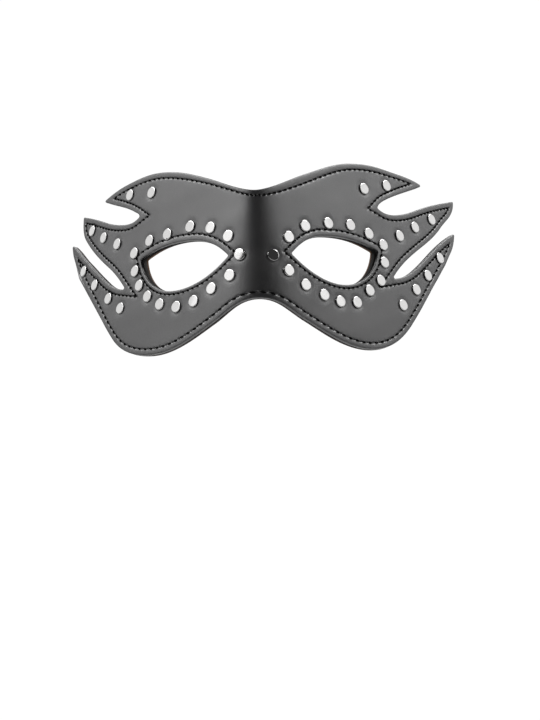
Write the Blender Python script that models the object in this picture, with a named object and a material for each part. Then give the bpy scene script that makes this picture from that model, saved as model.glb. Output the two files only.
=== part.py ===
"""Studded eye mask of faux leather, with three flames on each side and an elastic strap.

Two layers of leather are cut to one flat pattern, bent round a face and held together by rivets
with flat caps. A point of the flat pattern is (along, up): along runs from the nose line to the
flames, positive on the right of the front view, and up runs from the eye line to the brow.
Bent, each line of one along stays straight and leans back, and the rest turns round the face.

Metres. +X is right in the front view, the front faces -Y, +Z is up. The origin is on the rear
face of the nose bridge, on the nose line and the eye line.
"""

import math
from collections import namedtuple

import bpy
import numpy as np
from mathutils import Vector
from mathutils.geometry import delaunay_2d_cdt

MM = 0.001

# Lengths along the flat pattern, from the nose line outwards
NOSE_BRIDGE = 18.7 * MM    # nose line to the inner corner of the eye
EYE_WIDTH = 62.5 * MM      # inner to outer corner of the eye
TEMPLE = 11.6 * MM         # outer corner of the eye to the roots of the notches
FLAME_REACH = 68.2 * MM    # roots of the notches to the tip of the lowest flame

# Heights up the flat pattern, from the eye line
BROW_RISE = 42.5 * MM      # top of the eye to the crest of the brow
EYE_RISE = 9.8 * MM        # eye line to the top of the eye
EYE_DROP = 18.4 * MM       # eye line to the bottom of the eye
CHEEK_DROP = 36.5 * MM     # bottom of the eye to the lowest point of the cheek

# Walls, and the gap that pieces lying on each other keep
FRONT_WALL = 1.8 * MM
BACK_WALL = 1.5 * MM
GAP = 0.3 * MM
WALL = FRONT_WALL + GAP + BACK_WALL

# The bend round the face
LEAN_BACK = math.radians(14.6)
NOSE_TURN = math.radians(34.0)          # turn of each flank beside the nose
NOSE_TURN_LENGTH = 12.0 * MM            # length in which most of that turn is made
RIGHT_WING_TURN = math.radians(16.5)    # further turn of the right wing over WING_TURN_LENGTH
LEFT_WING_TURN = math.radians(24.0)
WING_TURN_LENGTH = 150.0 * MM
TABLE_STEP = 0.25 * MM                  # step of the table that the bend is added up in
TABLE_REACH = 1.1                       # reach of that table, as a share of the pattern's

# Rivets
STUD_WIDTH = 7.0 * MM
STUD_BEVEL = 0.35 * MM
STUD_HEIGHT = 0.6 * MM
SHANK_WIDTH = 2.2 * MM
BACK_CAP_WIDTH = 4.6 * MM
BACK_CAP_HEIGHT = 0.7 * MM
STUD_SIDES = 10
HOLE_SIDES = 6

# Strap
STRAP_WIDTH = 15.0 * MM
STRAP_WALL = 1.4 * MM
STRAP_LEVEL = 1.0 * MM      # height of the strap's middle where it is fixed
STRAP_CLEARANCE = 0.8 * MM  # between the strap's end and the rivet beside it
STRAP_PATCH = 8.0 * MM      # length that lies flat on the back of the wing
STRAP_PATCH_POINTS = 3
STRAP_LOOP_DEPTH = 190.0 * MM  # nose bridge to the back of the head
STRAP_LOOP_WIDTH = 124.0 * MM  # fullness of the loop at the back of the head
STRAP_RISE = 36.0 * MM      # height of the strap's middle at the back of the head
STRAP_BEND = 14.0 * MM      # length in which the strap leaves the wing
STRAP_STEPS = 20

# Fineness of the meshes
CURVE_STEP = 0.5 * MM       # step along an outline before it is thinned
OUTLINE_ERROR = 0.15 * MM   # how far a thinned outline may leave its curve
LONGEST_EDGE = 12.0 * MM
NOSE_EDGE = 3.0 * MM        # longest edge where the leather bends sharply
NOSE_ZONE = 20.0 * MM       # half width of that stretch
CORNER_RADIUS = 0.8 * MM    # radius that tips, notch roots and eye corners are rounded to
ROUND_STEPS = 5             # points on such a rounding
HANDLE_SHARE = 0.36         # length of a curve's handles, as a share of its chord
INNER_CLEARANCE = 0.45      # least share of the spacing between an inner point and an edge
SCALE_UP = 1000.0           # the triangulation works in millimetres
MERGE_LENGTH = 1e-6         # and joins points that are closer than this
SHEET_CREASE = math.radians(40.0)   # edges that turn by more are shaded sharp
STUD_CREASE = math.radians(30.0)

ALONG_STATIONS = np.cumsum([0.0, NOSE_BRIDGE, EYE_WIDTH, TEMPLE, FLAME_REACH])
UP_STATIONS = np.array([-EYE_DROP - CHEEK_DROP, -EYE_DROP, 0.0, EYE_RISE, EYE_RISE + BROW_RISE])

# A node of an outline. along counts stations: 0 nose line, 1 inner and 2 outer corner of the eye,
# 3 notch roots, 4 tip of the lowest flame. up counts -2 cheek, -1 bottom of the eye, 0 eye line,
# 1 top of the eye, 2 brow. arrive and leave are the outline's headings there in degrees. lead and
# lift are how much further out and higher the right half has the node than the left, as shares of
# FLAME_REACH.
Node = namedtuple("Node", "name along up arrive leave lead lift", defaults=(0.0, 0.0))

OUTLINE = (
    Node("valley", 0.00, 1.62, 0, 0),
    Node("brow", 1.35, 1.84, 15, 15),
    Node("crest", 1.98, 2.00, 0, 0, 0.0, 0.018),
    Node("upper_flame_back", 3.20, 1.92, -13, -13, 0.0, 0.032),
    Node("upper_tip", 3.62, 1.71, -26, 194, 0.066, 0.040),
    Node("upper_notch", 3.08, 1.49, 200, 204, 0.0, 0.013),
    Node("upper_root", 2.93, 1.40, 238, -42),
    Node("middle_flame_back", 3.20, 1.31, 2, 2),
    Node("middle_flame_top", 3.54, 1.40, 13, 13, 0.0, 0.010),
    Node("middle_tip", 3.99, 1.52, 7, 254, 0.161, 0.028),
    Node("middle_flame_belly", 3.78, 1.15, 214, 214),
    Node("middle_flame_root", 3.32, -0.04, 206, 206, 0.0, 0.024),
    Node("lower_root", 2.98, -0.83, 221, 0, -0.038, 0.009),
    Node("lower_flame_back", 3.30, -0.53, 27, 27, 0.0, 0.023),
    Node("lower_flame_top", 3.69, 0.44, 26, 26, 0.0, 0.034),
    Node("lower_tip", 4.00, 1.09, 18, 244, -0.069, -0.020),
    Node("lower_flame_side", 3.84, 0.04, 221, 221, 0.0, 0.026),
    Node("lower_flame_belly", 3.52, -0.96, 219, 219, 0.0, 0.022),
    Node("cheek_back", 3.08, -1.68, 219, 219, 0.0, 0.025),
    Node("cheek", 1.75, -2.00, 180, 180, 0.0, -0.015),
    Node("cheek_side", 1.05, -1.52, 147, 147),
    Node("nose_arch", 0.00, -1.18, 180, 180),
)

# The eye hole of the lining, and that of the leather, which reaches further out
BACK_EYE = (
    Node("top", 1.42, 1.00, 0, 0),
    Node("outer_corner", 2.00, 0.12, -28, 250),
    Node("bottom", 1.58, -1.00, 180, 180),
    Node("inner_corner", 1.00, -0.02, 132, 40, 0.054),
    Node("top", 1.42, 1.00, 0, 0),
)

FRONT_EYE = (
    Node("top", 1.42, 1.00, 0, 0),
    Node("outer_corner", 2.27, 0.12, -26, 248),
    Node("bottom", 1.58, -1.00, 180, 180),
    Node("inner_corner", 1.00, -0.02, 132, 40, 0.054),
    Node("top", 1.42, 1.00, 0, 0),
)

# Rivets, set by hand on both halves. lead and lift are how much further out and higher the right
# one is than the left, as shares of STUD_WIDTH.
Stud = namedtuple("Stud", "name along up lead lift")

STUDS = (
    Stud("nose", 0.49, -0.04, -0.09, -0.14),
    Stud("eye_low_1", 0.83, -0.59, 0.31, 0.23),
    Stud("eye_low_2", 1.11, -1.00, 0.07, 0.04),
    Stud("eye_low_3", 1.29, -1.17, 0.06, 0.14),
    Stud("eye_low_4", 1.47, -1.26, -0.19, -0.03),
    Stud("eye_low_5", 1.67, -1.24, -0.37, -0.41),
    Stud("eye_low_6", 1.85, -1.08, -0.31, -0.16),
    Stud("eye_outer_1", 2.01, -0.82, -0.07, -0.30),
    Stud("eye_outer_2", 2.53, -0.30, -0.03, -0.01),
    Stud("eye_outer_3", 2.77, 0.51, -0.20, -0.06),
    Stud("eye_high_5", 1.97, 1.04, 0.13, -0.06),
    Stud("eye_high_4", 1.75, 1.13, 0.34, 0.24),
    Stud("eye_high_3", 1.48, 1.18, 0.47, -0.10),
    Stud("eye_high_2", 1.22, 1.14, 0.24, -0.11),
    Stud("eye_high_1", 1.01, 1.00, 0.33, -0.23),
    Stud("upper_flame_1", 2.26, 1.69, -0.03, -0.33),
    Stud("upper_flame_2", 3.17, 1.72, -0.17, -0.01),
    Stud("middle_flame_1", 3.21, 1.03, -0.57, -0.20),
    Stud("middle_flame_2", 3.44, 1.15, -0.61, -0.10),
    Stud("middle_flame_3", 3.68, 1.27, -0.26, -0.11),
    Stud("lower_flame_1", 3.03, -1.28, -0.09, -0.57),
    Stud("lower_flame_2", 3.23, -1.07, 0.06, -0.16),
    Stud("lower_flame_3", 3.45, -0.67, -0.47, -0.21),
    Stud("lower_flame_4", 3.68, -0.14, -0.56, 0.01),
)


def place(row, sign, unit):
    """Return the pattern place of a table's row for one half, before the left one is mirrored.

    Half of the row's lead and lift, in the given unit, is added on the right and taken on the left.
    """
    middle = np.array([
        np.interp(row.along, range(len(ALONG_STATIONS)), ALONG_STATIONS),
        np.interp(row.up, range(-2, 3), UP_STATIONS),
    ])
    return middle + sign * unit / 2 * np.array([row.lead, row.lift])


def heading(degrees):
    """Return the unit vector of a heading on the pattern."""
    return np.array([math.cos(math.radians(degrees)), math.sin(math.radians(degrees))])


class Bend:
    """The bent sheet: maps pattern points and depths under the front face to space."""

    def __init__(self):
        reach = ALONG_STATIONS[-1] * TABLE_REACH
        count = int(round(reach / TABLE_STEP))
        self.along = np.arange(-count, count + 1) * TABLE_STEP
        wing = np.where(self.along < 0.0, LEFT_WING_TURN, RIGHT_WING_TURN)
        self.turn = (NOSE_TURN * np.tanh(self.along / NOSE_TURN_LENGTH)
                     + wing * self.along / WING_TURN_LENGTH)
        self.x = self.summed(np.cos(self.turn), count)
        self.y = self.summed(np.sin(self.turn), count)

    @staticmethod
    def summed(rate, middle):
        """Add a rate up along the table, from zero at its middle."""
        total = np.concatenate([[0.0], np.cumsum((rate[1:] + rate[:-1]) * TABLE_STEP / 2)])
        return total - total[middle]

    def frame(self, along):
        """Return the unit vectors along the sheet, up it and out of its front."""
        turn = np.interp(along, self.along, self.turn)
        cos, sin, zero, one = np.cos(turn), np.sin(turn), np.zeros_like(turn), np.ones_like(turn)
        level = np.stack([sin, -cos, zero], -1)
        upright = np.stack([zero, zero, one], -1)
        tangent = np.stack([cos, sin, zero], -1)
        rise = math.cos(LEAN_BACK) * upright - math.sin(LEAN_BACK) * level
        out = math.cos(LEAN_BACK) * level + math.sin(LEAN_BACK) * upright
        return tangent, rise, out

    def point(self, along, up, depth=0.0):
        """Return points at a depth under the front face, as an array of shape (n, 3)."""
        along, up = np.asarray(along, float), np.asarray(up, float)
        rise, out = self.frame(along)[1:]
        foot = np.stack([np.interp(along, self.along, self.x),
                         np.interp(along, self.along, self.y),
                         np.zeros_like(along)], -1)
        seat = self.frame(np.zeros(1))[2][0] * WALL
        depth = np.asarray(depth, float)
        return seat + foot + up[..., None] * rise - depth[..., None] * out


def curve_between(start, end, leave, arrive):
    """Return points on the cubic curve between two places, without its last point."""
    chord = np.linalg.norm(end - start)
    handle = chord * HANDLE_SHARE
    corners = (start, start + handle * heading(leave), end - handle * heading(arrive), end)
    t = np.arange(0.0, 1.0, CURVE_STEP / chord)[:, None]
    weights = ((1 - t) ** 3, 3 * t * (1 - t) ** 2, 3 * t ** 2 * (1 - t), t ** 3)
    return sum(w * c for w, c in zip(weights, corners))


def rounded(line, corner):
    """Replace the corner at an index of an open line by an arc.

    The arc leaves the line as far from the corner as its radius over the tangent of half the
    corner's angle, and its middle point weighs the sine of that half.
    """
    away = np.linalg.norm(line - line[corner], axis=1)

    def points_at(reach):
        return (corner - int(np.argmax(away[corner::-1] > reach)),
                corner + int(np.argmax(away[corner:] > reach)))

    arms = [(line[i] - line[corner]) / away[i] for i in points_at(CORNER_RADIUS)]
    half = math.acos(np.dot(*arms)) / 2
    before, after = points_at(CORNER_RADIUS / math.tan(half))
    t = np.linspace(0.0, 1.0, ROUND_STEPS)[:, None]
    shares = ((1 - t) ** 2, 2 * t * (1 - t) * math.sin(half), t ** 2)
    arc = sum(s * line[i] for s, i in zip(shares, (before, corner, after))) / sum(shares)
    return np.vstack([line[:before], arc, line[after + 1:]])


def line_through(nodes, sign):
    """Return a line through the nodes of one half, with its corners rounded."""
    places = [place(node, sign, FLAME_REACH) for node in nodes]
    pieces = []
    corners = []
    for i, node in enumerate(nodes[:-1]):
        if node.leave != node.arrive:
            corners.append(sum(len(piece) for piece in pieces))
        pieces.append(curve_between(places[i], places[i + 1], node.leave, nodes[i + 1].arrive))
    line = np.vstack(pieces + [places[-1]])
    for corner in reversed(corners):
        line = rounded(line, corner)
    return line


def thinned(line):
    """Return the few points of a line that keep to its curve and to the longest edge."""
    def split(first, last):
        chord = line[last] - line[first]
        length = np.linalg.norm(chord)
        between = line[first + 1:last] - line[first]
        near_nose = min(abs(line[first, 0]), abs(line[last, 0])) < NOSE_ZONE
        if len(between) == 0:
            return [first]
        off = np.abs(chord[0] * between[:, 1] - chord[1] * between[:, 0]) / max(length, CURVE_STEP)
        if off.max() > OUTLINE_ERROR:
            middle = first + 1 + int(np.argmax(off))
        elif length > (NOSE_EDGE if near_nose else LONGEST_EDGE):
            middle = (first + last) // 2
        else:
            return [first]
        return split(first, middle) + split(middle, last)
    middle, end = len(line) // 2, len(line) - 1
    return line[split(0, middle) + split(middle, end) + [end]]


def mirrored(points):
    """Return points turned over to the left half of the pattern."""
    return points * np.array([-1.0, 1.0])


def pattern_outlines(eye_nodes):
    """Return the outer outline and the two eye holes, each a closed line of few points."""
    right = thinned(line_through(OUTLINE, 1.0))
    left = mirrored(thinned(line_through(OUTLINE, -1.0)))
    right_eye = thinned(line_through(eye_nodes, 1.0))[:-1]
    left_eye = mirrored(thinned(line_through(eye_nodes, -1.0)))[:-1]
    return [np.vstack([right, left[-2:0:-1]]), right_eye, left_eye]


def stud_places():
    """Return the name and pattern place of each rivet, both halves."""
    places = []
    for side, sign in (("right", 1.0), ("left", -1.0)):
        for stud in STUDS:
            along, up = place(stud, sign, STUD_WIDTH)
            places.append((f"stud_{side}_{stud.name}", sign * along, up))
    return places


def stud_holes(places):
    """Return the holes of the shanks, whose flats keep the gap to the shank."""
    radius = (SHANK_WIDTH / 2 + GAP) / math.cos(math.pi / HOLE_SIDES)
    angles = np.arange(HOLE_SIDES) * 2 * math.pi / HOLE_SIDES
    ring = radius * np.stack([np.cos(angles), np.sin(angles)], -1)
    return [ring + np.array([along, up]) for _, along, up in places]


def inside(points, loops):
    """Tell for each point whether an odd number of loops go round it."""
    result = np.zeros(len(points), bool)
    for loop in loops:
        start, end = loop, np.roll(loop, -1, axis=0)
        spans = (start[:, 1] > points[:, 1:2]) != (end[:, 1] > points[:, 1:2])
        rise = np.where(end[:, 1] == start[:, 1], 1.0, end[:, 1] - start[:, 1])
        cross = start[:, 0] + (points[:, 1:2] - start[:, 1]) * (end[:, 0] - start[:, 0]) / rise
        result ^= (np.sum(spans & (points[:, 0:1] < cross), axis=1) % 2).astype(bool)
    return result


def distance_to(points, loops):
    """Return each point's distance to the nearest edge of the loops."""
    nearest = np.full(len(points), np.inf)
    for loop in loops:
        edge = np.roll(loop, -1, axis=0) - loop
        offset = points[:, None, :] - loop
        share = np.clip(np.sum(offset * edge, -1) / np.sum(edge * edge, -1), 0.0, 1.0)
        gap = np.linalg.norm(offset - share[..., None] * edge, axis=-1)
        nearest = np.minimum(nearest, gap.min(axis=1))
    return nearest


def inner_points(loops):
    """Return points inside the pattern, in columns that are close together at the nose."""
    reach, height = ALONG_STATIONS[-1], UP_STATIONS[-1]
    near = np.arange(0.0, NOSE_ZONE, NOSE_EDGE)
    far = np.arange(NOSE_ZONE, reach, LONGEST_EDGE)
    columns = np.concatenate([-far[::-1], -near[:0:-1], near, far])
    rows = np.arange(-height, height, LONGEST_EDGE)
    along, up = np.meshgrid(columns, rows, indexing="ij")
    up = up + (np.arange(len(columns)) % 2)[:, None] * LONGEST_EDGE / 2
    points = np.stack([along.ravel(), up.ravel()], -1)
    spacing = np.where(np.abs(points[:, 0]) < NOSE_ZONE, NOSE_EDGE, LONGEST_EDGE)
    return points[inside(points, loops) & (distance_to(points, loops) > spacing * INNER_CLEARANCE)]


def flat_mesh(loops):
    """Return the points and triangles of the flat pattern between its loops."""
    points = np.vstack(loops + [inner_points(loops)])
    edges = []
    first = 0
    for loop in loops:
        edges += [(first + i, first + (i + 1) % len(loop)) for i in range(len(loop))]
        first += len(loop)
    scaled = [Vector(point * SCALE_UP) for point in points]
    result = delaunay_2d_cdt(scaled, edges, [], 0, MERGE_LENGTH, False)
    corners = np.array([tuple(corner) for corner in result[0]]) / SCALE_UP
    triangles = np.array(result[2])
    kept = inside(corners[triangles].mean(axis=1), loops)
    triangles = triangles[kept]
    a, b, c = (corners[triangles[:, i]] for i in range(3))
    turn = (b[:, 0] - a[:, 0]) * (c[:, 1] - a[:, 1]) - (b[:, 1] - a[:, 1]) * (c[:, 0] - a[:, 0])
    triangles[turn < 0] = triangles[turn < 0][:, ::-1]
    return corners, triangles


def add_object(name, points, faces, material):
    """Add one named mesh object made of points and faces."""
    mesh = bpy.data.meshes.new(name)
    mesh.from_pydata([tuple(point) for point in points], [], [tuple(face) for face in faces])
    mesh.materials.append(material)
    mesh.update()
    made = bpy.data.objects.new(name, mesh)
    bpy.context.scene.collection.objects.link(made)
    return made


def add_panel(name, bend, flat, top, bottom, material):
    """Add a layer of leather: the flat mesh bent at two depths and walled along its edges."""
    corners, triangles = flat
    count = len(corners)
    front = bend.point(corners[:, 0], corners[:, 1], np.full(count, top))
    back = bend.point(corners[:, 0], corners[:, 1], np.full(count, bottom))
    directed = {(int(t[i]), int(t[(i + 1) % 3])) for t in triangles for i in range(3)}
    rims = sorted((a, b) for a, b in directed if (b, a) not in directed)
    walls = [(b, a, a + count, b + count) for a, b in rims]
    faces = [tuple(t) for t in triangles] + [tuple(t[::-1] + count) for t in triangles] + walls
    made = add_object(name, np.vstack([front, back]), faces, material)
    made.data.shade_smooth()
    made.data.set_sharp_from_angle(angle=SHEET_CREASE)
    return made


def add_stud(name, bend, along, up, material):
    """Add a rivet: a bevelled flat cap, a shank through both layers and a cap behind them."""
    tangent, rise, out = (axis[0] for axis in bend.frame(np.array([along])))
    centre = bend.point(np.array([along]), np.array([up]))[0]
    back = -WALL - GAP
    rings = (
        (STUD_WIDTH / 2 - STUD_BEVEL, GAP + STUD_HEIGHT),
        (STUD_WIDTH / 2, GAP),
        (SHANK_WIDTH / 2, GAP),
        (SHANK_WIDTH / 2, back),
        (BACK_CAP_WIDTH / 2, back),
        (BACK_CAP_WIDTH / 2, back - BACK_CAP_HEIGHT),
    )
    angles = np.arange(STUD_SIDES) * 2 * math.pi / STUD_SIDES
    spokes = np.cos(angles)[:, None] * tangent + np.sin(angles)[:, None] * rise
    points = np.vstack([centre + radius * spokes + height * out for radius, height in rings])
    faces = [tuple(range(STUD_SIDES))]
    for ring in range(len(rings) - 1):
        upper, lower = ring * STUD_SIDES, (ring + 1) * STUD_SIDES
        for i in range(STUD_SIDES):
            j = (i + 1) % STUD_SIDES
            faces.append((upper + j, upper + i, lower + i, lower + j))
    last = (len(rings) - 1) * STUD_SIDES
    faces.append(tuple(range(last + STUD_SIDES - 1, last - 1, -1)))
    made = add_object(name, points, faces, material)
    made.data.shade_smooth()
    made.data.set_sharp_from_angle(angle=STUD_CREASE)
    return made


def strap_half(bend, sign):
    """Return the middle line and width direction of the strap, from its end to the back."""
    beside = next(stud for stud in STUDS if stud.name == "eye_outer_3")
    start = place(beside, sign, STUD_WIDTH)[0] + BACK_CAP_WIDTH / 2 + STRAP_CLEARANCE
    along = sign * np.linspace(start, start + STRAP_PATCH, STRAP_PATCH_POINTS)
    depth = np.full(STRAP_PATCH_POINTS, WALL + GAP + STRAP_WALL / 2)
    patch = bend.point(along, np.full(STRAP_PATCH_POINTS, STRAP_LEVEL), depth)
    tangent, rise = bend.frame(along[-1:])[:2]
    back = np.array([0.0, STRAP_LOOP_DEPTH, STRAP_RISE])
    corners = (patch[-1], patch[-1] + STRAP_BEND * sign * tangent[0],
               back + np.array([sign * STRAP_LOOP_WIDTH / 2, 0.0, 0.0]), back)
    t = np.linspace(0.0, 1.0, STRAP_STEPS + 1)[1:, None]
    weights = ((1 - t) ** 3, 3 * t * (1 - t) ** 2, 3 * t ** 2 * (1 - t), t ** 3)
    loop = sum(w * c for w, c in zip(weights, corners))
    ease = t * t * (3 - 2 * t)
    width = np.vstack([bend.frame(along)[1], (1 - ease) * rise + ease * np.array([0.0, 0.0, 1.0])])
    return np.vstack([patch, loop]), width


def add_strap(name, bend, material):
    """Add the elastic band: one flat loop from wing to wing round the back of the head."""
    right, right_width = strap_half(bend, 1.0)
    left, left_width = strap_half(bend, -1.0)
    middle = np.vstack([right, left[-2::-1]])
    width = np.vstack([right_width, left_width[-2::-1]])
    tangent = np.gradient(middle, axis=0)
    tangent /= np.linalg.norm(tangent, axis=1, keepdims=True)
    width = width - np.sum(width * tangent, axis=1, keepdims=True) * tangent
    width /= np.linalg.norm(width, axis=1, keepdims=True)
    out = np.cross(tangent, width)
    sides = [middle + STRAP_WIDTH / 2 * a * width + STRAP_WALL / 2 * b * out
             for a, b in ((1, 1), (1, -1), (-1, -1), (-1, 1))]
    count = len(middle)
    points = np.vstack(sides)
    faces = [(0, count, 2 * count, 3 * count)]
    for side in range(4):
        this, other = side * count, (side + 1) % 4 * count
        faces += [(this + i, this + i + 1, other + i + 1, other + i) for i in range(count - 1)]
    faces.append(tuple(side * count + count - 1 for side in (3, 2, 1, 0)))
    made = add_object(name, points, faces, material)
    made.data.shade_smooth()
    made.data.set_sharp_from_angle(angle=SHEET_CREASE)
    return made


def material(name, colour, roughness, metallic):
    """Return a plain material."""
    made = bpy.data.materials.new(name)
    made.use_nodes = True
    shader = made.node_tree.nodes["Principled BSDF"]
    shader.inputs["Base Color"].default_value = (*colour, 1.0)
    shader.inputs["Roughness"].default_value = roughness
    shader.inputs["Metallic"].default_value = metallic
    return made


def main():
    """Build the mask."""
    for old in list(bpy.data.objects):
        bpy.data.objects.remove(old)
    bend = Bend()
    places = stud_places()
    holes = stud_holes(places)
    leather = material("leather", (0.030, 0.029, 0.031), 0.45, 0.0)
    lining = material("lining", (0.022, 0.020, 0.019), 0.75, 0.0)
    nickel = material("nickel", (0.80, 0.79, 0.77), 0.15, 1.0)
    elastic = material("elastic", (0.015, 0.015, 0.016), 0.85, 0.0)
    front_flat = flat_mesh(pattern_outlines(FRONT_EYE) + holes)
    back_flat = flat_mesh(pattern_outlines(BACK_EYE) + holes)
    add_panel("front_panel", bend, front_flat, 0.0, FRONT_WALL, leather)
    add_panel("back_panel", bend, back_flat, FRONT_WALL + GAP, WALL, lining)
    for name, along, up in places:
        add_stud(name, bend, along, up, nickel)
    add_strap("strap", bend, elastic)


main()
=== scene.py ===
"""Looks of the studded eye mask: leather, lining, thread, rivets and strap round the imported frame.

Metres. +X is right in the front view, the front faces -Y, +Z is up. A point of the flat pattern
is (along, up): along runs from the nose line to the flames, up from the eye line to the brow.
"""

import logging
import math
from dataclasses import dataclass, field
from enum import Enum

import bpy
import numpy as np
from mathutils import Matrix, Vector
from mathutils.geometry import delaunay_2d_cdt

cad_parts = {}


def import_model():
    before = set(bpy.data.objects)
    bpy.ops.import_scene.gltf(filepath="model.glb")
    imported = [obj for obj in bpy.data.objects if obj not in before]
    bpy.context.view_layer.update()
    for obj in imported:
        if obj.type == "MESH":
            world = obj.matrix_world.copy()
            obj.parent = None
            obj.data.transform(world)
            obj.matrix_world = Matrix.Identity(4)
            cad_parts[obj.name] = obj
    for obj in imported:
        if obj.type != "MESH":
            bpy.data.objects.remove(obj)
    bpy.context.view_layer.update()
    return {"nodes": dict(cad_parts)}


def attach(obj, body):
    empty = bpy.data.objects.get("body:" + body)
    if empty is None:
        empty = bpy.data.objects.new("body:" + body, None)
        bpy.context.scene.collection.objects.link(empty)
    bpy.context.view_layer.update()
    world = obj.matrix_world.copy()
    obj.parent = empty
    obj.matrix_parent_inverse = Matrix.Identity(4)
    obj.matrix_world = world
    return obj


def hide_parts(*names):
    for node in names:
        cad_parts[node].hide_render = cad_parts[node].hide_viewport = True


MM = 0.001
BODY = "root"
PATTERN_MAP = "pattern"
SEED = 7
CHUNK = 1500                # points whose distances are worked out at once
LEAST_LENGTH = 1e-12        # keeps a division by a length from being one by nothing
LEAST_AREA = 1e-18          # the same for a square or a cross product
SHARP_TURN = math.radians(50.0)     # faces that meet at more are shaded apart
LOG = logging.getLogger("mask")


class Side(Enum):
    """The half of the mask, by the sign of its X."""

    RIGHT = 1.0
    LEFT = -1.0


class Slot(Enum):
    """Names of the material slots."""

    LEATHER = "leather"
    LINING = "lining"
    NICKEL = "nickel"
    ELASTIC = "elastic"


class Face(Enum):
    """The side of a layer that shows: 1 faces the front, -1 the head."""

    FRONT = 1
    HEAD = -1


# The flat pattern


@dataclass(frozen=True)
class Spot:
    """A node of an outline, counted in the pattern's stations.

    arrive and leave are the outline's headings in degrees. lead and lift are how much further
    out and higher the right half has the node than the left, as shares of the flames' reach.
    """

    along: float
    up: float
    arrive: float
    leave: float
    lead: float = 0.0
    lift: float = 0.0

    def turn(self) -> float:
        """Return how far the outline turns here, in degrees from -180 to 180."""
        return (self.leave - self.arrive + 180.0) % 360.0 - 180.0


OUTLINE = (
    Spot(0.00, 1.62, 0, 0),
    Spot(1.35, 1.84, 15, 15),
    Spot(1.98, 2.00, 0, 0, 0.0, 0.018),
    Spot(3.20, 1.92, -13, -13, 0.0, 0.032),
    Spot(3.62, 1.71, -26, 194, 0.066, 0.040),
    Spot(3.08, 1.49, 200, 204, 0.0, 0.013),
    Spot(2.93, 1.40, 238, -42),
    Spot(3.20, 1.31, 2, 2),
    Spot(3.54, 1.40, 13, 13, 0.0, 0.010),
    Spot(3.99, 1.52, 7, 254, 0.161, 0.028),
    Spot(3.78, 1.15, 214, 214),
    Spot(3.32, -0.04, 206, 206, 0.0, 0.024),
    Spot(2.98, -0.83, 221, 0, -0.038, 0.009),
    Spot(3.30, -0.53, 27, 27, 0.0, 0.023),
    Spot(3.69, 0.44, 26, 26, 0.0, 0.034),
    Spot(4.00, 1.09, 18, 244, -0.069, -0.020),
    Spot(3.84, 0.04, 221, 221, 0.0, 0.026),
    Spot(3.52, -0.96, 219, 219, 0.0, 0.022),
    Spot(3.08, -1.68, 219, 219, 0.0, 0.025),
    Spot(1.75, -2.00, 180, 180, 0.0, -0.015),
    Spot(1.05, -1.52, 147, 147),
    Spot(0.00, -1.18, 180, 180),
)

LINING_EYE = (
    Spot(2.00, 0.12, -28, 250),
    Spot(1.58, -1.00, 180, 180),
    Spot(1.00, -0.02, 132, 40, 0.054),
    Spot(1.42, 1.00, 0, 0),
    Spot(2.00, 0.12, -28, 250),
)

LEATHER_EYE = (
    Spot(2.27, 0.12, -26, 248),
    Spot(1.58, -1.00, 180, 180),
    Spot(1.00, -0.02, 132, 40, 0.054),
    Spot(1.42, 1.00, 0, 0),
    Spot(2.27, 0.12, -26, 248),
)

# along, up, lead and lift of each rivet of one half; the last two are shares of its width
STUDS = (
    (0.49, -0.04, -0.09, -0.14), (0.83, -0.59, 0.31, 0.23), (1.11, -1.00, 0.07, 0.04),
    (1.29, -1.17, 0.06, 0.14), (1.47, -1.26, -0.19, -0.03), (1.67, -1.24, -0.37, -0.41),
    (1.85, -1.08, -0.31, -0.16), (2.01, -0.82, -0.07, -0.30), (2.53, -0.30, -0.03, -0.01),
    (2.77, 0.51, -0.20, -0.06), (1.97, 1.04, 0.13, -0.06), (1.75, 1.13, 0.34, 0.24),
    (1.48, 1.18, 0.47, -0.10), (1.22, 1.14, 0.24, -0.11), (1.01, 1.00, 0.33, -0.23),
    (2.26, 1.69, -0.03, -0.33), (3.17, 1.72, -0.17, -0.01), (3.21, 1.03, -0.57, -0.20),
    (3.44, 1.15, -0.61, -0.10), (3.68, 1.27, -0.26, -0.11), (3.03, -1.28, -0.09, -0.57),
    (3.23, -1.07, 0.06, -0.16), (3.45, -0.67, -0.47, -0.21), (3.68, -0.14, -0.56, 0.01),
)
STRAP_STUD = 9              # the rivet of each half that the strap's end lies beside

# The brow's stitch line: pattern length from the nose line, and distance from the edge, in mm
BROW_INSETS = ((-140.0, 3.5), (-60.0, 3.6), (-20.0, 2.3), (35.0, 4.8), (70.0, 3.7), (130.0, 3.0))


def unit(vectors: np.ndarray) -> np.ndarray:
    """Return vectors scaled to a length of one, along the last axis."""
    return vectors / np.maximum(np.linalg.norm(vectors, axis=-1, keepdims=True), LEAST_LENGTH)


def cubic(corners: tuple[np.ndarray, ...], t: np.ndarray) -> np.ndarray:
    """Return the points of a cubic curve over its four corners, at shares t of shape (n, 1)."""
    weights = ((1 - t) ** 3, 3 * t * (1 - t) ** 2, 3 * t ** 2 * (1 - t), t ** 3)
    return sum(w * c for w, c in zip(weights, corners))


def heading(degrees: float) -> np.ndarray:
    """Return the unit vector of a heading on the pattern: its cosine and sine."""
    return np.array([math.cos(math.radians(degrees)), math.sin(math.radians(degrees))])


def smooth(values: np.ndarray) -> np.ndarray:
    """Return 3t^2 - 2t^3 of values kept between 0 and 1, a step with soft ends."""
    t = np.clip(values, 0.0, 1.0)
    return t * t * (3.0 - 2.0 * t)


def lengths_along(line: np.ndarray) -> np.ndarray:
    """Return the length of a line up to each of its points."""
    return np.concatenate([[0.0], np.cumsum(np.linalg.norm(np.diff(line, axis=0), axis=1))])


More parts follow.
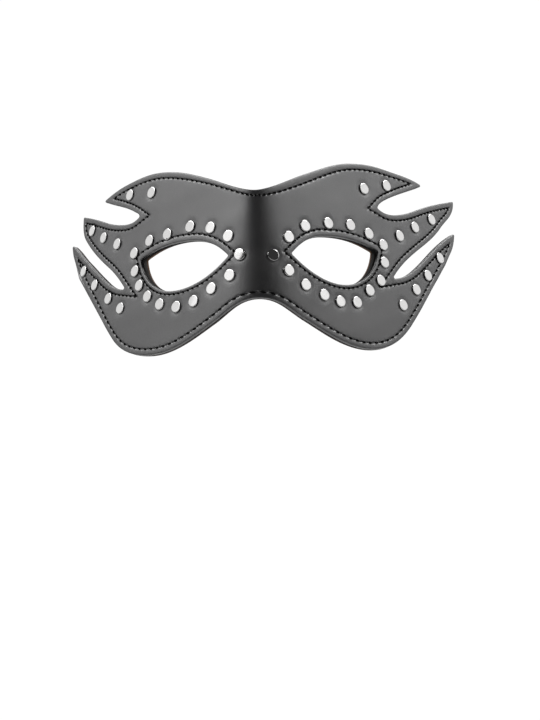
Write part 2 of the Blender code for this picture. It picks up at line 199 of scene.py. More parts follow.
def at_lengths(line: np.ndarray, lengths: np.ndarray) -> np.ndarray:
    """Return the points of a line at given lengths from its start, linear between its points."""
    run = lengths_along(line)
    return np.stack([np.interp(lengths, run, line[:, i]) for i in range(line.shape[1])], -1)


def right_hand(line: np.ndarray, closed: bool) -> np.ndarray:
    """Return the unit normals on the right hand of a line in the pattern.

    Each is the line's direction at the point, from the one before to the one after, turned
    clockwise by a quarter turn: (x, y) becomes (y, -x).

    Args:
        line: points of shape (n, 2).
        closed: whether the last point is followed by the first.

    Returns:
        The normals, of shape (n, 2).
    """
    if closed:
        direction = np.roll(line, -1, axis=0) - np.roll(line, 1, axis=0)
    else:
        direction = np.gradient(line, axis=0)
    direction = unit(direction)
    return np.stack([direction[:, 1], -direction[:, 0]], -1)


def crossing(first: np.ndarray, second: np.ndarray, near: np.ndarray) -> tuple[float, float]:
    """Return where two lines cross, as lengths from their starts.

    Two segments p + s*u and q + t*v cross where s = (q - p) x v / (u x v) and
    t = (q - p) x u / (u x v) both lie between 0 and 1.

    Args:
        first: points of the first line.
        second: points of the second line.
        near: of several crossings, the one nearest to this point is taken.

    Returns:
        The lengths along the first and the second line.
    """
    p, u = first[:-1, None, :], np.diff(first, axis=0)[:, None, :]
    q, v = second[None, :-1, :], np.diff(second, axis=0)[None, :, :]
    across = u[..., 0] * v[..., 1] - u[..., 1] * v[..., 0]
    across = np.where(np.abs(across) < LEAST_AREA, LEAST_AREA, across)
    gap = q - p
    s = (gap[..., 0] * v[..., 1] - gap[..., 1] * v[..., 0]) / across
    t = (gap[..., 0] * u[..., 1] - gap[..., 1] * u[..., 0]) / across
    met = (s >= 0) & (s <= 1) & (t >= 0) & (t <= 1)
    place = p + s[..., None] * u
    away = np.where(met, np.linalg.norm(place - near, axis=-1), np.inf)
    i, j = np.unravel_index(int(np.argmin(away)), away.shape)
    lengths = lengths_along(first), lengths_along(second)
    steps = np.diff(lengths[0])[i], np.diff(lengths[1])[j]
    return float(lengths[0][i] + s[i, j] * steps[0]), float(lengths[1][j] + t[i, j] * steps[1])


def cut(line: np.ndarray, start: float, end: float) -> np.ndarray:
    """Return the part of a line between two lengths from its start."""
    run = lengths_along(line)
    kept = line[(run > start + 1e-7) & (run < end - 1e-7)]
    ends = at_lengths(line, np.array([start, end]))
    return np.vstack([ends[:1], kept, ends[1:]])


@dataclass(frozen=True)
class Pattern:
    """The flat cut of the leather, the places of its rivets and the lines of its stitching."""

    nose_bridge: float = 18.7 * MM
    eye_width: float = 62.5 * MM
    temple: float = 11.6 * MM
    flame_reach: float = 68.2 * MM
    brow_rise: float = 42.5 * MM
    eye_rise: float = 9.8 * MM
    eye_drop: float = 18.4 * MM
    cheek_drop: float = 36.5 * MM
    stud_width: float = 7.0 * MM
    curve_step: float = 0.25 * MM
    handle_share: float = 0.36
    corner_turn: float = 30.0           # a node that turns the outline by more is a corner
    corner_radius: float = 0.8 * MM
    arc_points: int = 26                # points of a corner's arc, with its two ends
    edge_step: float = 0.75 * MM        # spacing of the points along an edge
    corner_reach: float = 2.6 * MM      # depth at which a corner still gets that spacing
    straight: float = 4.0 * MM          # length of a stitch line that is straight at a notch root

    def place(self, along: float, up: float) -> np.ndarray:
        """Return pattern metres for station counts."""
        stations = np.cumsum([0.0, self.nose_bridge, self.eye_width, self.temple,
                              self.flame_reach])
        levels = np.array([-self.eye_drop - self.cheek_drop, -self.eye_drop, 0.0,
                           self.eye_rise, self.eye_rise + self.brow_rise])
        return np.array([np.interp(along, range(5), stations), np.interp(up, range(-2, 3), levels)])

    def curve(self, start: np.ndarray, end: np.ndarray, leave: float, arrive: float) -> np.ndarray:
        """Return the points of one cubic curve, whose handles are a share of its chord long."""
        chord = np.linalg.norm(end - start)
        handle = chord * self.handle_share
        corners = (start, start + handle * heading(leave), end - handle * heading(arrive), end)
        return cubic(corners, np.linspace(0.0, 1.0, max(3, int(chord / self.curve_step)))[:, None])

    def runs(self, spots: tuple[Spot, ...], side: Side) -> list[np.ndarray]:
        """Return the smooth runs of an outline between its corners, on one half.

        Args:
            spots: the outline's nodes.
            side: the half; the left one is turned over.

        Returns:
            A list of lines, each of shape (n, 2), in the order of the nodes.
        """
        places = [self.place(spot.along, spot.up)
                  + side.value * self.flame_reach / 2 * np.array([spot.lead, spot.lift])
                  for spot in spots]
        made: list[np.ndarray] = []
        run = places[0][None, :]
        for i in range(len(spots) - 1):
            piece = self.curve(places[i], places[i + 1], spots[i].leave, spots[i + 1].arrive)
            run = np.vstack([run, piece[1:]])
            if abs(spots[i + 1].turn()) > self.corner_turn:
                made.append(run)
                run = places[i + 1][None, :]
        if len(run) > 1:
            made.append(run)
        return [line * np.array([side.value, 1.0]) for line in made]

    def outer_runs(self) -> list[np.ndarray]:
        """Return the runs of the outer edge, clockwise, from the left upper flame's tip."""
        right, left = self.runs(OUTLINE, Side.RIGHT), self.runs(OUTLINE, Side.LEFT)
        brow = np.vstack([left[0][::-1], right[0][1:]])
        cheeks = np.vstack([right[-1], left[-1][-2::-1]])
        return [brow] + right[1:-1] + [cheeks] + [line[::-1] for line in left[-2:0:-1]]

    def eye_runs(self, side: Side, eye: tuple[Spot, ...]) -> list[np.ndarray]:
        """Return the two runs of an eye hole, anticlockwise."""
        made = self.runs(eye, side)
        return [line[::-1] for line in made[::-1]] if side is Side.RIGHT else made

    def all_runs(self, eye: tuple[Spot, ...]) -> list[list[np.ndarray]]:
        """Return the runs of the outer edge and of both eye holes."""
        return [self.outer_runs(), self.eye_runs(Side.RIGHT, eye), self.eye_runs(Side.LEFT, eye)]

    def corner(self, run: np.ndarray, after: np.ndarray) -> tuple[float, float]:
        """Return how far from a corner its arc starts, and the weight of the arc's middle.

        With h half the angle between the two runs, they are the radius over tan h, and sin h.
        """
        back = at_lengths(run[::-1], np.array([self.corner_radius]))[0] - run[-1]
        onwards = at_lengths(after, np.array([self.corner_radius]))[0] - after[0]
        half = math.acos(float(np.dot(unit(back), unit(onwards)))) / 2
        return self.corner_radius / math.tan(half), math.sin(half)

    def rounded(self, runs: list[np.ndarray]) -> np.ndarray:
        """Return a closed edge of even spacing from its runs, with the corners rounded.

        Each corner becomes the arc (a*p + b*q + c*r) / (a + b + c) from p over the corner q to
        r, with a = (1-t)^2, b = 2t(1-t) times the corner's weight and c = t^2. The spacing is
        even in the length plus the corner reach times the turn.
        """
        corners = [self.corner(run, runs[(i + 1) % len(runs)]) for i, run in enumerate(runs)]
        pieces = []
        for i, run in enumerate(runs):
            reach, weight = corners[i]
            pieces.append(cut(run, corners[i - 1][0], lengths_along(run)[-1] - reach))
            end = at_lengths(runs[(i + 1) % len(runs)], np.array([reach]))[0]
            t = np.linspace(0.0, 1.0, self.arc_points)[1:-1, None]
            a, b, c = (1 - t) ** 2, 2 * t * (1 - t) * weight, t ** 2
            pieces.append((a * pieces[-1][-1] + b * run[-1] + c * end) / (a + b + c))
        line = np.vstack(pieces)
        line = np.vstack([line, line[:1]])
        step = np.diff(line, axis=0)
        length = np.linalg.norm(step, axis=1)
        angle = np.unwrap(np.arctan2(step[:, 1], step[:, 0]))
        turn = np.abs(np.diff(angle, prepend=angle[:1]))
        measure = np.concatenate([[0.0], np.cumsum(length + self.corner_reach * turn)])
        count = int(measure[-1] / self.edge_step)
        wanted = np.arange(count) * measure[-1] / count
        return np.stack([np.interp(wanted, measure, line[:, i]) for i in range(2)], -1)

    def edges(self, eye: tuple[Spot, ...]) -> list[np.ndarray]:
        """Return the closed edges, the outer one clockwise and the eye holes anticlockwise."""
        return [self.rounded(runs) for runs in self.all_runs(eye)]

    def studs(self) -> np.ndarray:
        """Return the places of all rivets, the right half's first."""
        return np.vstack([self.half_studs(Side.RIGHT), self.half_studs(Side.LEFT)])

    def half_studs(self, side: Side) -> np.ndarray:
        """Return the places of one half's rivets."""
        table = np.array(STUDS)
        middle = self.place(table[:, 0], table[:, 1]).T
        places = middle + side.value * self.stud_width / 2 * table[:, 2:]
        return places * np.array([side.value, 1.0])

    @staticmethod
    def turns_left(run: np.ndarray, after: np.ndarray) -> bool:
        """Tell whether an edge turns left from one run to the next, round the open side."""
        first, second = run[-1] - run[-5], after[4] - after[0]
        return bool(first[0] * second[1] - first[1] * second[0] > 0.0)

    def seams(self, insets: tuple[float, float], lift: float) -> list[np.ndarray]:
        """Return the stitch lines: each run moved into the leather, and mitred with the next.

        The brow's distance from its edge is linear between the rows of its table.

        Args:
            insets: distance between edge and stitch line at the rest of the outer edge and at
                the eye holes.
            lift: how much higher than the eye holes' middle their stitch lines lie.

        Returns:
            Open lines that meet at the corners.
        """
        made = []
        for loop, runs in enumerate(self.all_runs(LEATHER_EYE)):
            moved = []
            for i, run in enumerate(runs):
                inset = insets[min(loop, 1)]
                away = np.full(len(run), inset)
                if loop == 0 and i == 0:
                    along, wanted = np.array(BROW_INSETS).T * MM
                    away = np.interp(run[:, 0], along, wanted)
                line = run + away[:, None] * right_hand(run, False)
                line = line + np.array([0.0, lift if loop else 0.0])
                starts = self.straight * self.turns_left(runs[i - 1], run)
                ends = self.straight * self.turns_left(run, runs[(i + 1) % len(runs)])
                line = cut(line, starts, lengths_along(line)[-1] - ends)
                before = line[0] + (4 * inset + starts) * unit(line[0] - line[4])
                after = line[-1] + (4 * inset + ends) * unit(line[-1] - line[-5])
                moved.append(np.vstack([before, line, after]))
            ends = [crossing(moved[i], moved[(i + 1) % len(moved)], runs[i][-1])
                    for i in range(len(moved))]
            made += [cut(moved[i], ends[i - 1][1], ends[i][0]) for i in range(len(moved))]
        return made


@dataclass
class Bend:
    """The bent sheet: straight lines that lean back, turned round the face.

    The turn at a length along the pattern is nose_turn * tanh(along / nose_length) plus a
    steady turn of the wing, and the place is the sum of the steps in the turned directions.
    """

    lean: float = math.radians(14.6)
    nose_turn: float = math.radians(34.0)
    nose_length: float = 12.0 * MM
    right_turn: float = math.radians(16.5)
    left_turn: float = math.radians(24.0)
    wing_length: float = 150.0 * MM
    step: float = 0.25 * MM
    reach: float = 180.0 * MM
    wall: float = 3.6 * MM
    along: np.ndarray = field(init=False)
    turn: np.ndarray = field(init=False)
    foot: np.ndarray = field(init=False)

    def __post_init__(self) -> None:
        """Work out the tables of the turn and of the foot of each upright line."""
        count = int(round(self.reach / self.step))
        self.along = np.arange(-count, count + 1) * self.step
        wing = np.where(self.along < 0.0, self.left_turn, self.right_turn)
        self.turn = (self.nose_turn * np.tanh(self.along / self.nose_length)
                     + wing * self.along / self.wing_length)
        rate = np.stack([np.cos(self.turn), np.sin(self.turn)], -1)
        steps = (rate[1:] + rate[:-1]) * self.step / 2
        total = np.vstack([np.zeros((1, 2)), np.cumsum(steps, axis=0)])
        self.foot = total - total[count]

    def frame(self, along: np.ndarray) -> tuple[np.ndarray, np.ndarray, np.ndarray]:
        """Return the unit vectors along the sheet, up it and out of its front."""
        turn = np.interp(along, self.along, self.turn)
        cos, sin, zero = np.cos(turn), np.sin(turn), np.zeros_like(turn)
        level = np.stack([sin, -cos, zero], -1)
        upright = np.stack([zero, zero, zero + 1.0], -1)
        rise = math.cos(self.lean) * upright - math.sin(self.lean) * level
        out = math.cos(self.lean) * level + math.sin(self.lean) * upright
        return np.stack([cos, sin, zero], -1), rise, out

    def point(self, flat: np.ndarray, depth: np.ndarray) -> np.ndarray:
        """Return points in space for pattern points and depths under the front face.

        The point is the foot of its upright line, plus up times the rise, less depth times the
        outward direction.
        """
        rise, out = self.frame(flat[..., 0])[1:]
        foot = np.stack([np.interp(flat[..., 0], self.along, self.foot[:, 0]),
                         np.interp(flat[..., 0], self.along, self.foot[:, 1]),
                         np.zeros(flat.shape[:-1])], -1)
        seat = self.frame(np.zeros(1))[2][0] * self.wall
        return seat + foot + flat[..., 1:2] * rise - depth[..., None] * out


# Distances on the pattern


def segments(lines: list[np.ndarray], closed: bool) -> tuple[np.ndarray, np.ndarray]:
    """Return the starts and the steps of all segments of some lines."""
    starts, steps = [], []
    for line in lines:
        whole = np.vstack([line, line[:1]]) if closed else line
        starts.append(whole[:-1])
        steps.append(np.diff(whole, axis=0))
    return np.vstack(starts), np.vstack(steps)


def distance_to(points: np.ndarray, lines: list[np.ndarray], closed: bool) -> np.ndarray:
    """Return each point's distance to the nearest of some lines.

    The nearest point of a segment is its start plus the share (offset . step) / (step . step)
    of its step, kept between 0 and 1.
    """
    starts, steps = segments(lines, closed)
    squares = np.maximum(np.sum(steps * steps, -1), LEAST_AREA)
    nearest = np.empty(len(points))
    for first in range(0, len(points), CHUNK):
        part = points[first:first + CHUNK]
        x = part[:, 0:1] - starts[:, 0]
        y = part[:, 1:2] - starts[:, 1]
        share = np.clip((x * steps[:, 0] + y * steps[:, 1]) / squares, 0.0, 1.0)
        x -= share * steps[:, 0]
        y -= share * steps[:, 1]
        nearest[first:first + CHUNK] = np.sqrt((x * x + y * y).min(axis=1))
    return nearest


def inside(points: np.ndarray, loop: np.ndarray) -> np.ndarray:
    """Tell for each point whether a loop goes round it, by counting the edges on its right."""
    end = np.roll(loop, -1, axis=0)
    result = np.empty(len(points), bool)
    for first in range(0, len(points), CHUNK):
        part = points[first:first + CHUNK]
        spans = (loop[:, 1] > part[:, 1:2]) != (end[:, 1] > part[:, 1:2])
        rise = np.where(end[:, 1] == loop[:, 1], 1.0, end[:, 1] - loop[:, 1])
        cross = loop[:, 0] + (part[:, 1:2] - loop[:, 1]) * (end[:, 0] - loop[:, 0]) / rise
        result[first:first + CHUNK] = np.sum(spans & (part[:, 0:1] < cross), axis=1) % 2 == 1
    return result


def to_nearest(points: np.ndarray, centres: np.ndarray) -> np.ndarray:
    """Return each point's distance to the nearest of some centres."""
    nearest = np.full(len(points), np.inf)
    for centre in centres:
        nearest = np.minimum(nearest, np.hypot(*(points - centre).T))
    return nearest


def circles(centres: np.ndarray, radii: tuple[float, ...], counts: tuple[int, ...]) -> np.ndarray:
    """Return points on circles round each centre: centre plus radius times (cos, sin)."""
    rings = []
    for radius, count in zip(radii, counts):
        angle = ring_angles(count)
        rings.append(radius * np.stack([np.cos(angle), np.sin(angle)], -1))
    ring = np.vstack(rings)
    return (centres[:, None, :] + ring[None, :, :]).reshape(-1, 2)


def first_in_cell(points: np.ndarray, cell: float) -> np.ndarray:
    """Return the numbers of the points that come first in their square cell."""
    key = np.floor(points / cell).astype(np.int64)
    code = key[:, 0] * 1_000_003 + key[:, 1]
    return np.sort(np.unique(code, return_index=True)[1])


def triangulated(loops: list[np.ndarray], inner: np.ndarray, holes: int) -> np.ndarray:
    """Return the triangles between closed loops, over the loops' points and then the inner ones.

    Args:
        loops: the outer loop, and then the loops of the holes.
        inner: further points between them.
        holes: how many of the last loops are small round holes, whose triangles are told by
            their distance from the hole's middle.

    Returns:
        Triangles that turn anticlockwise on the pattern, of shape (n, 3).
    """
    points = np.vstack(loops + [inner])
    edges = []
    first = 0
    for loop in loops:
        edges += [(first + i, first + (i + 1) % len(loop)) for i in range(len(loop))]
        first += len(loop)
    scaled = [Vector(point) for point in points / MM]
    result = delaunay_2d_cdt(scaled, edges, [], 1, 1e-7, False)
    if len(result[0]) != len(points):
        raise ValueError("the triangulation merged or added points")
    triangles = np.array(result[2])
    middle = points[triangles].mean(axis=1)
    kept = np.ones(len(triangles), bool)
    bare = np.all(triangles < len(loops[0]), axis=1)
    kept[bare] = inside(middle[bare], loops[0])
    for loop in loops[1:len(loops) - holes]:
        near = np.all((middle > loop.min(0)) & (middle < loop.max(0)), axis=1)
        kept[near] &= ~inside(middle[near], loop)
    if holes:
        small = loops[-holes:]
        reach = np.linalg.norm(small[0][0] - small[0].mean(axis=0))
        kept &= to_nearest(middle, np.array([loop.mean(axis=0) for loop in small])) > reach
    triangles = triangles[kept]
    a, b, c = (points[triangles[:, i]] for i in range(3))
    turn = (b[:, 0] - a[:, 0]) * (c[:, 1] - a[:, 1]) - (b[:, 1] - a[:, 1]) * (c[:, 0] - a[:, 0])
    return np.where((turn < 0)[:, None], triangles[:, ::-1], triangles)


# Meshes


def add_piece(name: str, points: np.ndarray, faces: list[np.ndarray],
              material: bpy.types.Material,
              flat: np.ndarray | None = None, masks: dict[str, np.ndarray] | None = None,
              replaces: tuple[str, ...] = ()) -> bpy.types.Object:
    """Make one mesh object that rides on the body.

    Args:
        name: the piece's name.
        points: its vertices in the row frame, of shape (n, 3).
        faces: arrays of faces, each with one number of corners, of shape (m, corners).
        material: its finish.
        flat: for each vertex its place on the piece's own map, in metres.
        masks: values per vertex for the material, by name.
        replaces: the CAD nodes that the piece stands for.

    Returns:
        The object.
    """
    mesh = bpy.data.meshes.new(name)
    corners = np.concatenate([part.ravel() for part in faces]).astype(np.int32)
    sizes = np.concatenate([np.full(len(part), part.shape[1]) for part in faces])
    starts = np.concatenate([[0], np.cumsum(sizes)[:-1]]).astype(np.int32)
    mesh.vertices.add(len(points))
    mesh.vertices.foreach_set("co", points.astype(np.float32).ravel())
    mesh.loops.add(len(corners))
    mesh.loops.foreach_set("vertex_index", corners)
    mesh.polygons.add(len(sizes))
    mesh.polygons.foreach_set("loop_start", starts)
    mesh.update(calc_edges=True)
    if mesh.validate():
        LOG.warning("%s had faces that were put right", name)
    if flat is not None:
        mesh.uv_layers.new(name=PATTERN_MAP).data.foreach_set(
            "uv", flat[corners].astype(np.float32).ravel())
    for mask, values in (masks or {}).items():
        mesh.attributes.new(mask, "FLOAT", "POINT").data.foreach_set(
            "value", values.astype(np.float32))
    mesh.materials.append(material)
    mesh.shade_smooth()
    mesh.set_sharp_from_angle(angle=SHARP_TURN)
    piece = bpy.data.objects.new(name, mesh)
    bpy.context.scene.collection.objects.link(piece)
    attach(piece, BODY)
    if replaces:
        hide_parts(*replaces)
    LOG.info("%s: %d triangles", name, int(np.sum(sizes - 2)))
    return piece


def strip_faces(rows: int, columns: int, wrap: bool) -> np.ndarray:
    """Return the quads of a grid of points.

    Point (row, column) has the number row * columns + column. Each quad goes from it to the
    next row and on to the next column: with rows down and columns across, anticlockwise.

    Args:
        rows: number of rows.
        columns: number of points in a row.
        wrap: whether the last column joins the first.

    Returns:
        The quads, of shape (n, 4).
    """
    row, column = np.meshgrid(np.arange(rows - 1), np.arange(columns if wrap else columns - 1),
                              indexing="ij")
    after = (column + 1) % columns
    quads = np.stack([row * columns + column, (row + 1) * columns + column,
                      (row + 1) * columns + after, row * columns + after], -1)
    return quads.reshape(-1, 4)


def end_caps(rows: int, columns: int) -> np.ndarray:
    """Return the two faces that close the ends of a grid of points that is joined round."""
    return np.stack([np.arange(columns), rows * columns - 1 - np.arange(columns)])


def ring_angles(sides: int) -> np.ndarray:
    """Return the angles of evenly spaced points round a circle."""
    return np.arange(sides) * 2 * math.pi / sides


def copies(faces: np.ndarray, count: int, stride: int) -> np.ndarray:
    """Return the faces of a shape repeated count times, each stride points after the last."""
    return (faces[None, :, :] + (np.arange(count) * stride)[:, None, None]).reshape(
        -1, faces.shape[1])


# Shader trees


def opaque(colour: object) -> object:
    """Return a colour of three shares with an alpha of one, and a socket as it is."""
    return (*colour, 1.0) if isinstance(colour, tuple) else colour


class Tree:
    """Adds nodes to a shader tree or a node group and joins them."""

    def __init__(self, tree: bpy.types.NodeTree) -> None:
        """Keep the tree."""
        self.tree = tree

    def add(self, kind: str, **settings: object) -> bpy.types.Node:
        """Add a node and give it settings by their property names."""
        node = self.tree.nodes.new(kind)
        for key, value in settings.items():
            setattr(node, key, value)
        return node

    def feed(self, socket: bpy.types.NodeSocket, value: object) -> None:
        """Give a socket a value, or a link where the value is another node's output."""
        if isinstance(value, bpy.types.NodeSocket):
            self.tree.links.new(value, socket)
        else:
            socket.default_value = value

    def give(self, node: bpy.types.Node, **values: object) -> None:
        """Feed a node's inputs by name, with _ for a space."""
        for key, value in values.items():
            self.feed(node.inputs[key.replace("_", " ")], value)

    def maths(self, operation: str, first: object, second: object = 0.0,
              clamp: bool = False) -> bpy.types.NodeSocket:
        """Return the result of a Math node."""
        node = self.add("ShaderNodeMath", operation=operation, use_clamp=clamp)
        self.feed(node.inputs[0], first)
        self.feed(node.inputs[1], second)
        return node.outputs[0]

    def span(self, value: object, low: float, high: float, start: float = 0.0,
             end: float = 1.0) -> bpy.types.NodeSocket:
        """Return a value taken smoothly from the range low..high to the range start..end."""
        node = self.add("ShaderNodeMapRange", interpolation_type="SMOOTHSTEP")
        for socket, given in zip(node.inputs, (value, low, high, start, end)):
            self.feed(socket, given)
        return node.outputs[0]

    def mixed(self, share: object, first: object, second: object) -> bpy.types.NodeSocket:
        """Return a mix of two colours."""
        node = self.add("ShaderNodeMix", data_type="RGBA")
        self.feed(node.inputs[0], share)
        self.feed(node.inputs[6], opaque(first))
        self.feed(node.inputs[7], opaque(second))
        return node.outputs[2]

    def noise(self, vector: object, scale: object, detail: float = 3.0,
              roughness: float = 0.5) -> bpy.types.NodeSocket:
        """Return the value of a noise texture."""
        node = self.add("ShaderNodeTexNoise")
        self.give(node, Vector=vector, Scale=scale, Detail=detail, Roughness=roughness)
        return node.outputs[0]

    def cells(self, vector: object, scale: object) -> bpy.types.NodeSocket:
        """Return the distance to the borders of a cell texture."""
        node = self.add("ShaderNodeTexVoronoi", feature="DISTANCE_TO_EDGE")
        self.give(node, Vector=vector, Scale=scale)
        return node.outputs[0]

    def mask(self, name: str) -> bpy.types.NodeSocket:
        """Return a value that the mesh carries per vertex."""
        return self.add("ShaderNodeAttribute", attribute_name=name).outputs["Fac"]

    def group(self, group: bpy.types.NodeTree, **values: object) -> bpy.types.Node:
        """Add a node group and feed its inputs by name."""
        node = self.add("ShaderNodeGroup", node_tree=group)
        self.give(node, **values)
        return node

    def bump(self, height: object, distance: float,
             strength: float = 1.0) -> bpy.types.NodeSocket:
        """Return the normal of a Bump node."""
        node = self.add("ShaderNodeBump")
        self.give(node, Strength=strength, Distance=distance, Height=height)
        return node.outputs[0]

    def product(self, first: object, second: object) -> bpy.types.NodeSocket:
        """Return the product of two values."""
        return self.maths("MULTIPLY", first, second)

    def bell(self, value: object) -> bpy.types.NodeSocket:
        """Return |sin(pi * value)|, a row of round humps one unit apart."""
        return self.maths("ABSOLUTE", self.maths("SINE", self.product(value, math.pi)))


def new_group(name: str, inputs: tuple[tuple[str, str, float], ...],
              outputs: tuple[tuple[str, str], ...]) -> tuple[Tree, dict, bpy.types.Node]:
    """Make an empty shader node group with named sockets.

    Args:
        name: the group's name.
        inputs: name, kind (Float, Vector or Color) and default of each input.
        outputs: name and kind of each output.

    Returns:
        The group's tree, its inputs by name, and its output node.
    """
    group = bpy.data.node_groups.new(name, "ShaderNodeTree")
    for title, kind, default in inputs:
        socket = group.interface.new_socket(title, in_out="INPUT", socket_type=f"NodeSocket{kind}")
        if kind == "Float":
            socket.default_value = default
    for title, kind in outputs:
        group.interface.new_socket(title, in_out="OUTPUT", socket_type=f"NodeSocket{kind}")
    tree = Tree(group)
    start = tree.add("NodeGroupInput")
    given = {socket.name: socket for socket in start.outputs if socket.name}
    return tree, given, tree.add("NodeGroupOutput")


def grain_group() -> bpy.types.NodeTree:
    """Make the grain of pressed leather: small rounded cells, broken up by noise.

    Height is the smoothed distance to the cells' borders plus fine noise. Patch is a slow noise
    for changes of tone and gloss.
    """
    tree, given, end = new_group(
        "grain", (("Vector", "Vector", 0.0), ("Cell Scale", "Float", 1500.0),
                  ("Patch Scale", "Float", 60.0)), (("Height", "Float"), ("Patch", "Float")))
    warp = tree.add("ShaderNodeTexNoise")
    tree.feed(warp.inputs["Vector"], given["Vector"])
    tree.feed(warp.inputs["Scale"], tree.maths("MULTIPLY", given["Cell Scale"], 0.45))
    shift = tree.add("ShaderNodeVectorMath", operation="SCALE")
    tree.feed(shift.inputs[0], warp.outputs["Color"])
    shift.inputs["Scale"].default_value = 0.0006
    moved = tree.add("ShaderNodeVectorMath", operation="ADD")
    tree.feed(moved.inputs[0], given["Vector"])
    tree.feed(moved.inputs[1], shift.outputs[0])
    border = tree.span(tree.cells(moved.outputs[0], given["Cell Scale"]), 0.0, 0.28)
    fine = tree.noise(given["Vector"], tree.maths("MULTIPLY", given["Cell Scale"], 1.7), 2.0)
    height = tree.maths("ADD", tree.maths("MULTIPLY", border, 0.7),
                        tree.maths("MULTIPLY", fine, 0.5))
    tree.feed(end.inputs["Height"], height)
    tree.feed(end.inputs["Patch"], tree.noise(given["Vector"], given["Patch Scale"], 4.0, 0.6))
    return tree.tree


def dust_group() -> bpy.types.NodeTree:
    """Make a mask of rubbed and dusty spots: noise above a level, more of it where Edge is 1."""
    tree, given, end = new_group(
        "rubbed", (("Vector", "Vector", 0.0), ("Scale", "Float", 300.0), ("Edge", "Float", 0.0),
                   ("Amount", "Float", 0.3)), (("Mask", "Float"),))
    noise = tree.noise(given["Vector"], given["Scale"], 5.0, 0.65)
    raised = tree.maths("ADD", noise, tree.maths("MULTIPLY", given["Edge"], 0.22))
    share = tree.span(raised, 0.60, 0.82)
    tree.feed(end.inputs["Mask"], tree.maths("MULTIPLY", share, given["Amount"], clamp=True))
    return tree.tree


def yarn_group() -> bpy.types.NodeTree:
    """Make a weave: rows of short yarns, each half a step beside the next.

    Height is |sin| across the rows times 0.35 + 0.65 |sin| along them, with the odd rows moved
    by half a step. Fuzz is fine noise.
    """
    tree, given, end = new_group(
        "yarn", (("Vector", "Vector", 0.0), ("Row Scale", "Float", 1800.0),
                 ("Step Scale", "Float", 900.0)), (("Height", "Float"), ("Fuzz", "Float")))
    split = tree.add("ShaderNodeSeparateXYZ")
    tree.feed(split.inputs[0], given["Vector"])
    row = tree.maths("MULTIPLY", split.outputs["Y"], given["Row Scale"])
    odd = tree.maths("MULTIPLY", tree.maths("MODULO", tree.maths("FLOOR", row), 2.0), 0.5)
    step = tree.maths("ADD", tree.maths("MULTIPLY", split.outputs["X"], given["Step Scale"]), odd)
    height = tree.product(tree.bell(row),
                          tree.maths("ADD", 0.35, tree.product(tree.bell(step), 0.65)))
    tree.feed(end.inputs["Height"], height)
    tree.feed(end.inputs["Fuzz"], tree.noise(given["Vector"], 5200.0, 3.0, 0.7))
    return tree.tree


def new_material(name: str) -> tuple[bpy.types.Material, Tree, bpy.types.Node]:
    """Return a new material, its tree and its Principled BSDF."""
    material = bpy.data.materials.new(name)
    material.use_nodes = True
    return material, Tree(material.node_tree), material.node_tree.nodes["Principled BSDF"]


@dataclass(frozen=True)
class Groups:
    """The node groups that the finishes share."""

    grain: bpy.types.NodeTree
    rubbed: bpy.types.NodeTree
    yarn: bpy.types.NodeTree

    def worn(self, tree: Tree, place: bpy.types.NodeSocket, scale: float,
             amount: float) -> bpy.types.NodeSocket:
        """Return the mask of rubbed spots, more of them where the piece's edge mask is 1."""
        return tree.group(self.rubbed, Vector=place, Scale=scale, Edge=tree.mask("edge"),
                          Amount=amount).outputs["Mask"]


@dataclass(frozen=True)
class LeatherFinish:
    """Black faux leather: a fine pressed grain under a satin coat, rubbed a little at edges."""

    colour: tuple[float, float, float] = (0.0150, 0.0145, 0.0158)
    patch: tuple[float, float, float] = (0.0230, 0.0222, 0.0234)
    rubbed: tuple[float, float, float] = (0.070, 0.069, 0.071)
    roughness: float = 0.40
    coat: float = 0.5
    coat_roughness: float = 0.38
    cell_scale: float = 1750.0
    patch_scale: float = 45.0
    grain_depth: float = 0.030 * MM

    def make(self, groups: Groups) -> bpy.types.Material:
        """Build the material. Raised cells are a little smoother, the slow patches rougher."""
        material, tree, shader = new_material("black_leather")
        place = tree.add("ShaderNodeTexCoord").outputs["Object"]
        grain = tree.group(groups.grain, Vector=place, Cell_Scale=self.cell_scale,
                           Patch_Scale=self.patch_scale)
        patch = tree.span(grain.outputs["Patch"], 0.35, 0.68)
        colour = tree.mixed(patch, self.colour, self.patch)
        colour = tree.mixed(groups.worn(tree, place, 420.0, 0.35), colour, self.rubbed)
        raised = tree.product(grain.outputs["Height"], 0.06)
        rough = tree.maths("ADD", tree.maths("SUBTRACT", self.roughness + 0.02, raised),
                           tree.product(patch, 0.05))
        tree.give(shader, Base_Color=colour, Roughness=rough,
                  Normal=tree.bump(grain.outputs["Height"], self.grain_depth),
                  Specular_IOR_Level=1.0, Coat_Weight=self.coat,
                  Coat_Roughness=self.coat_roughness)
        return material


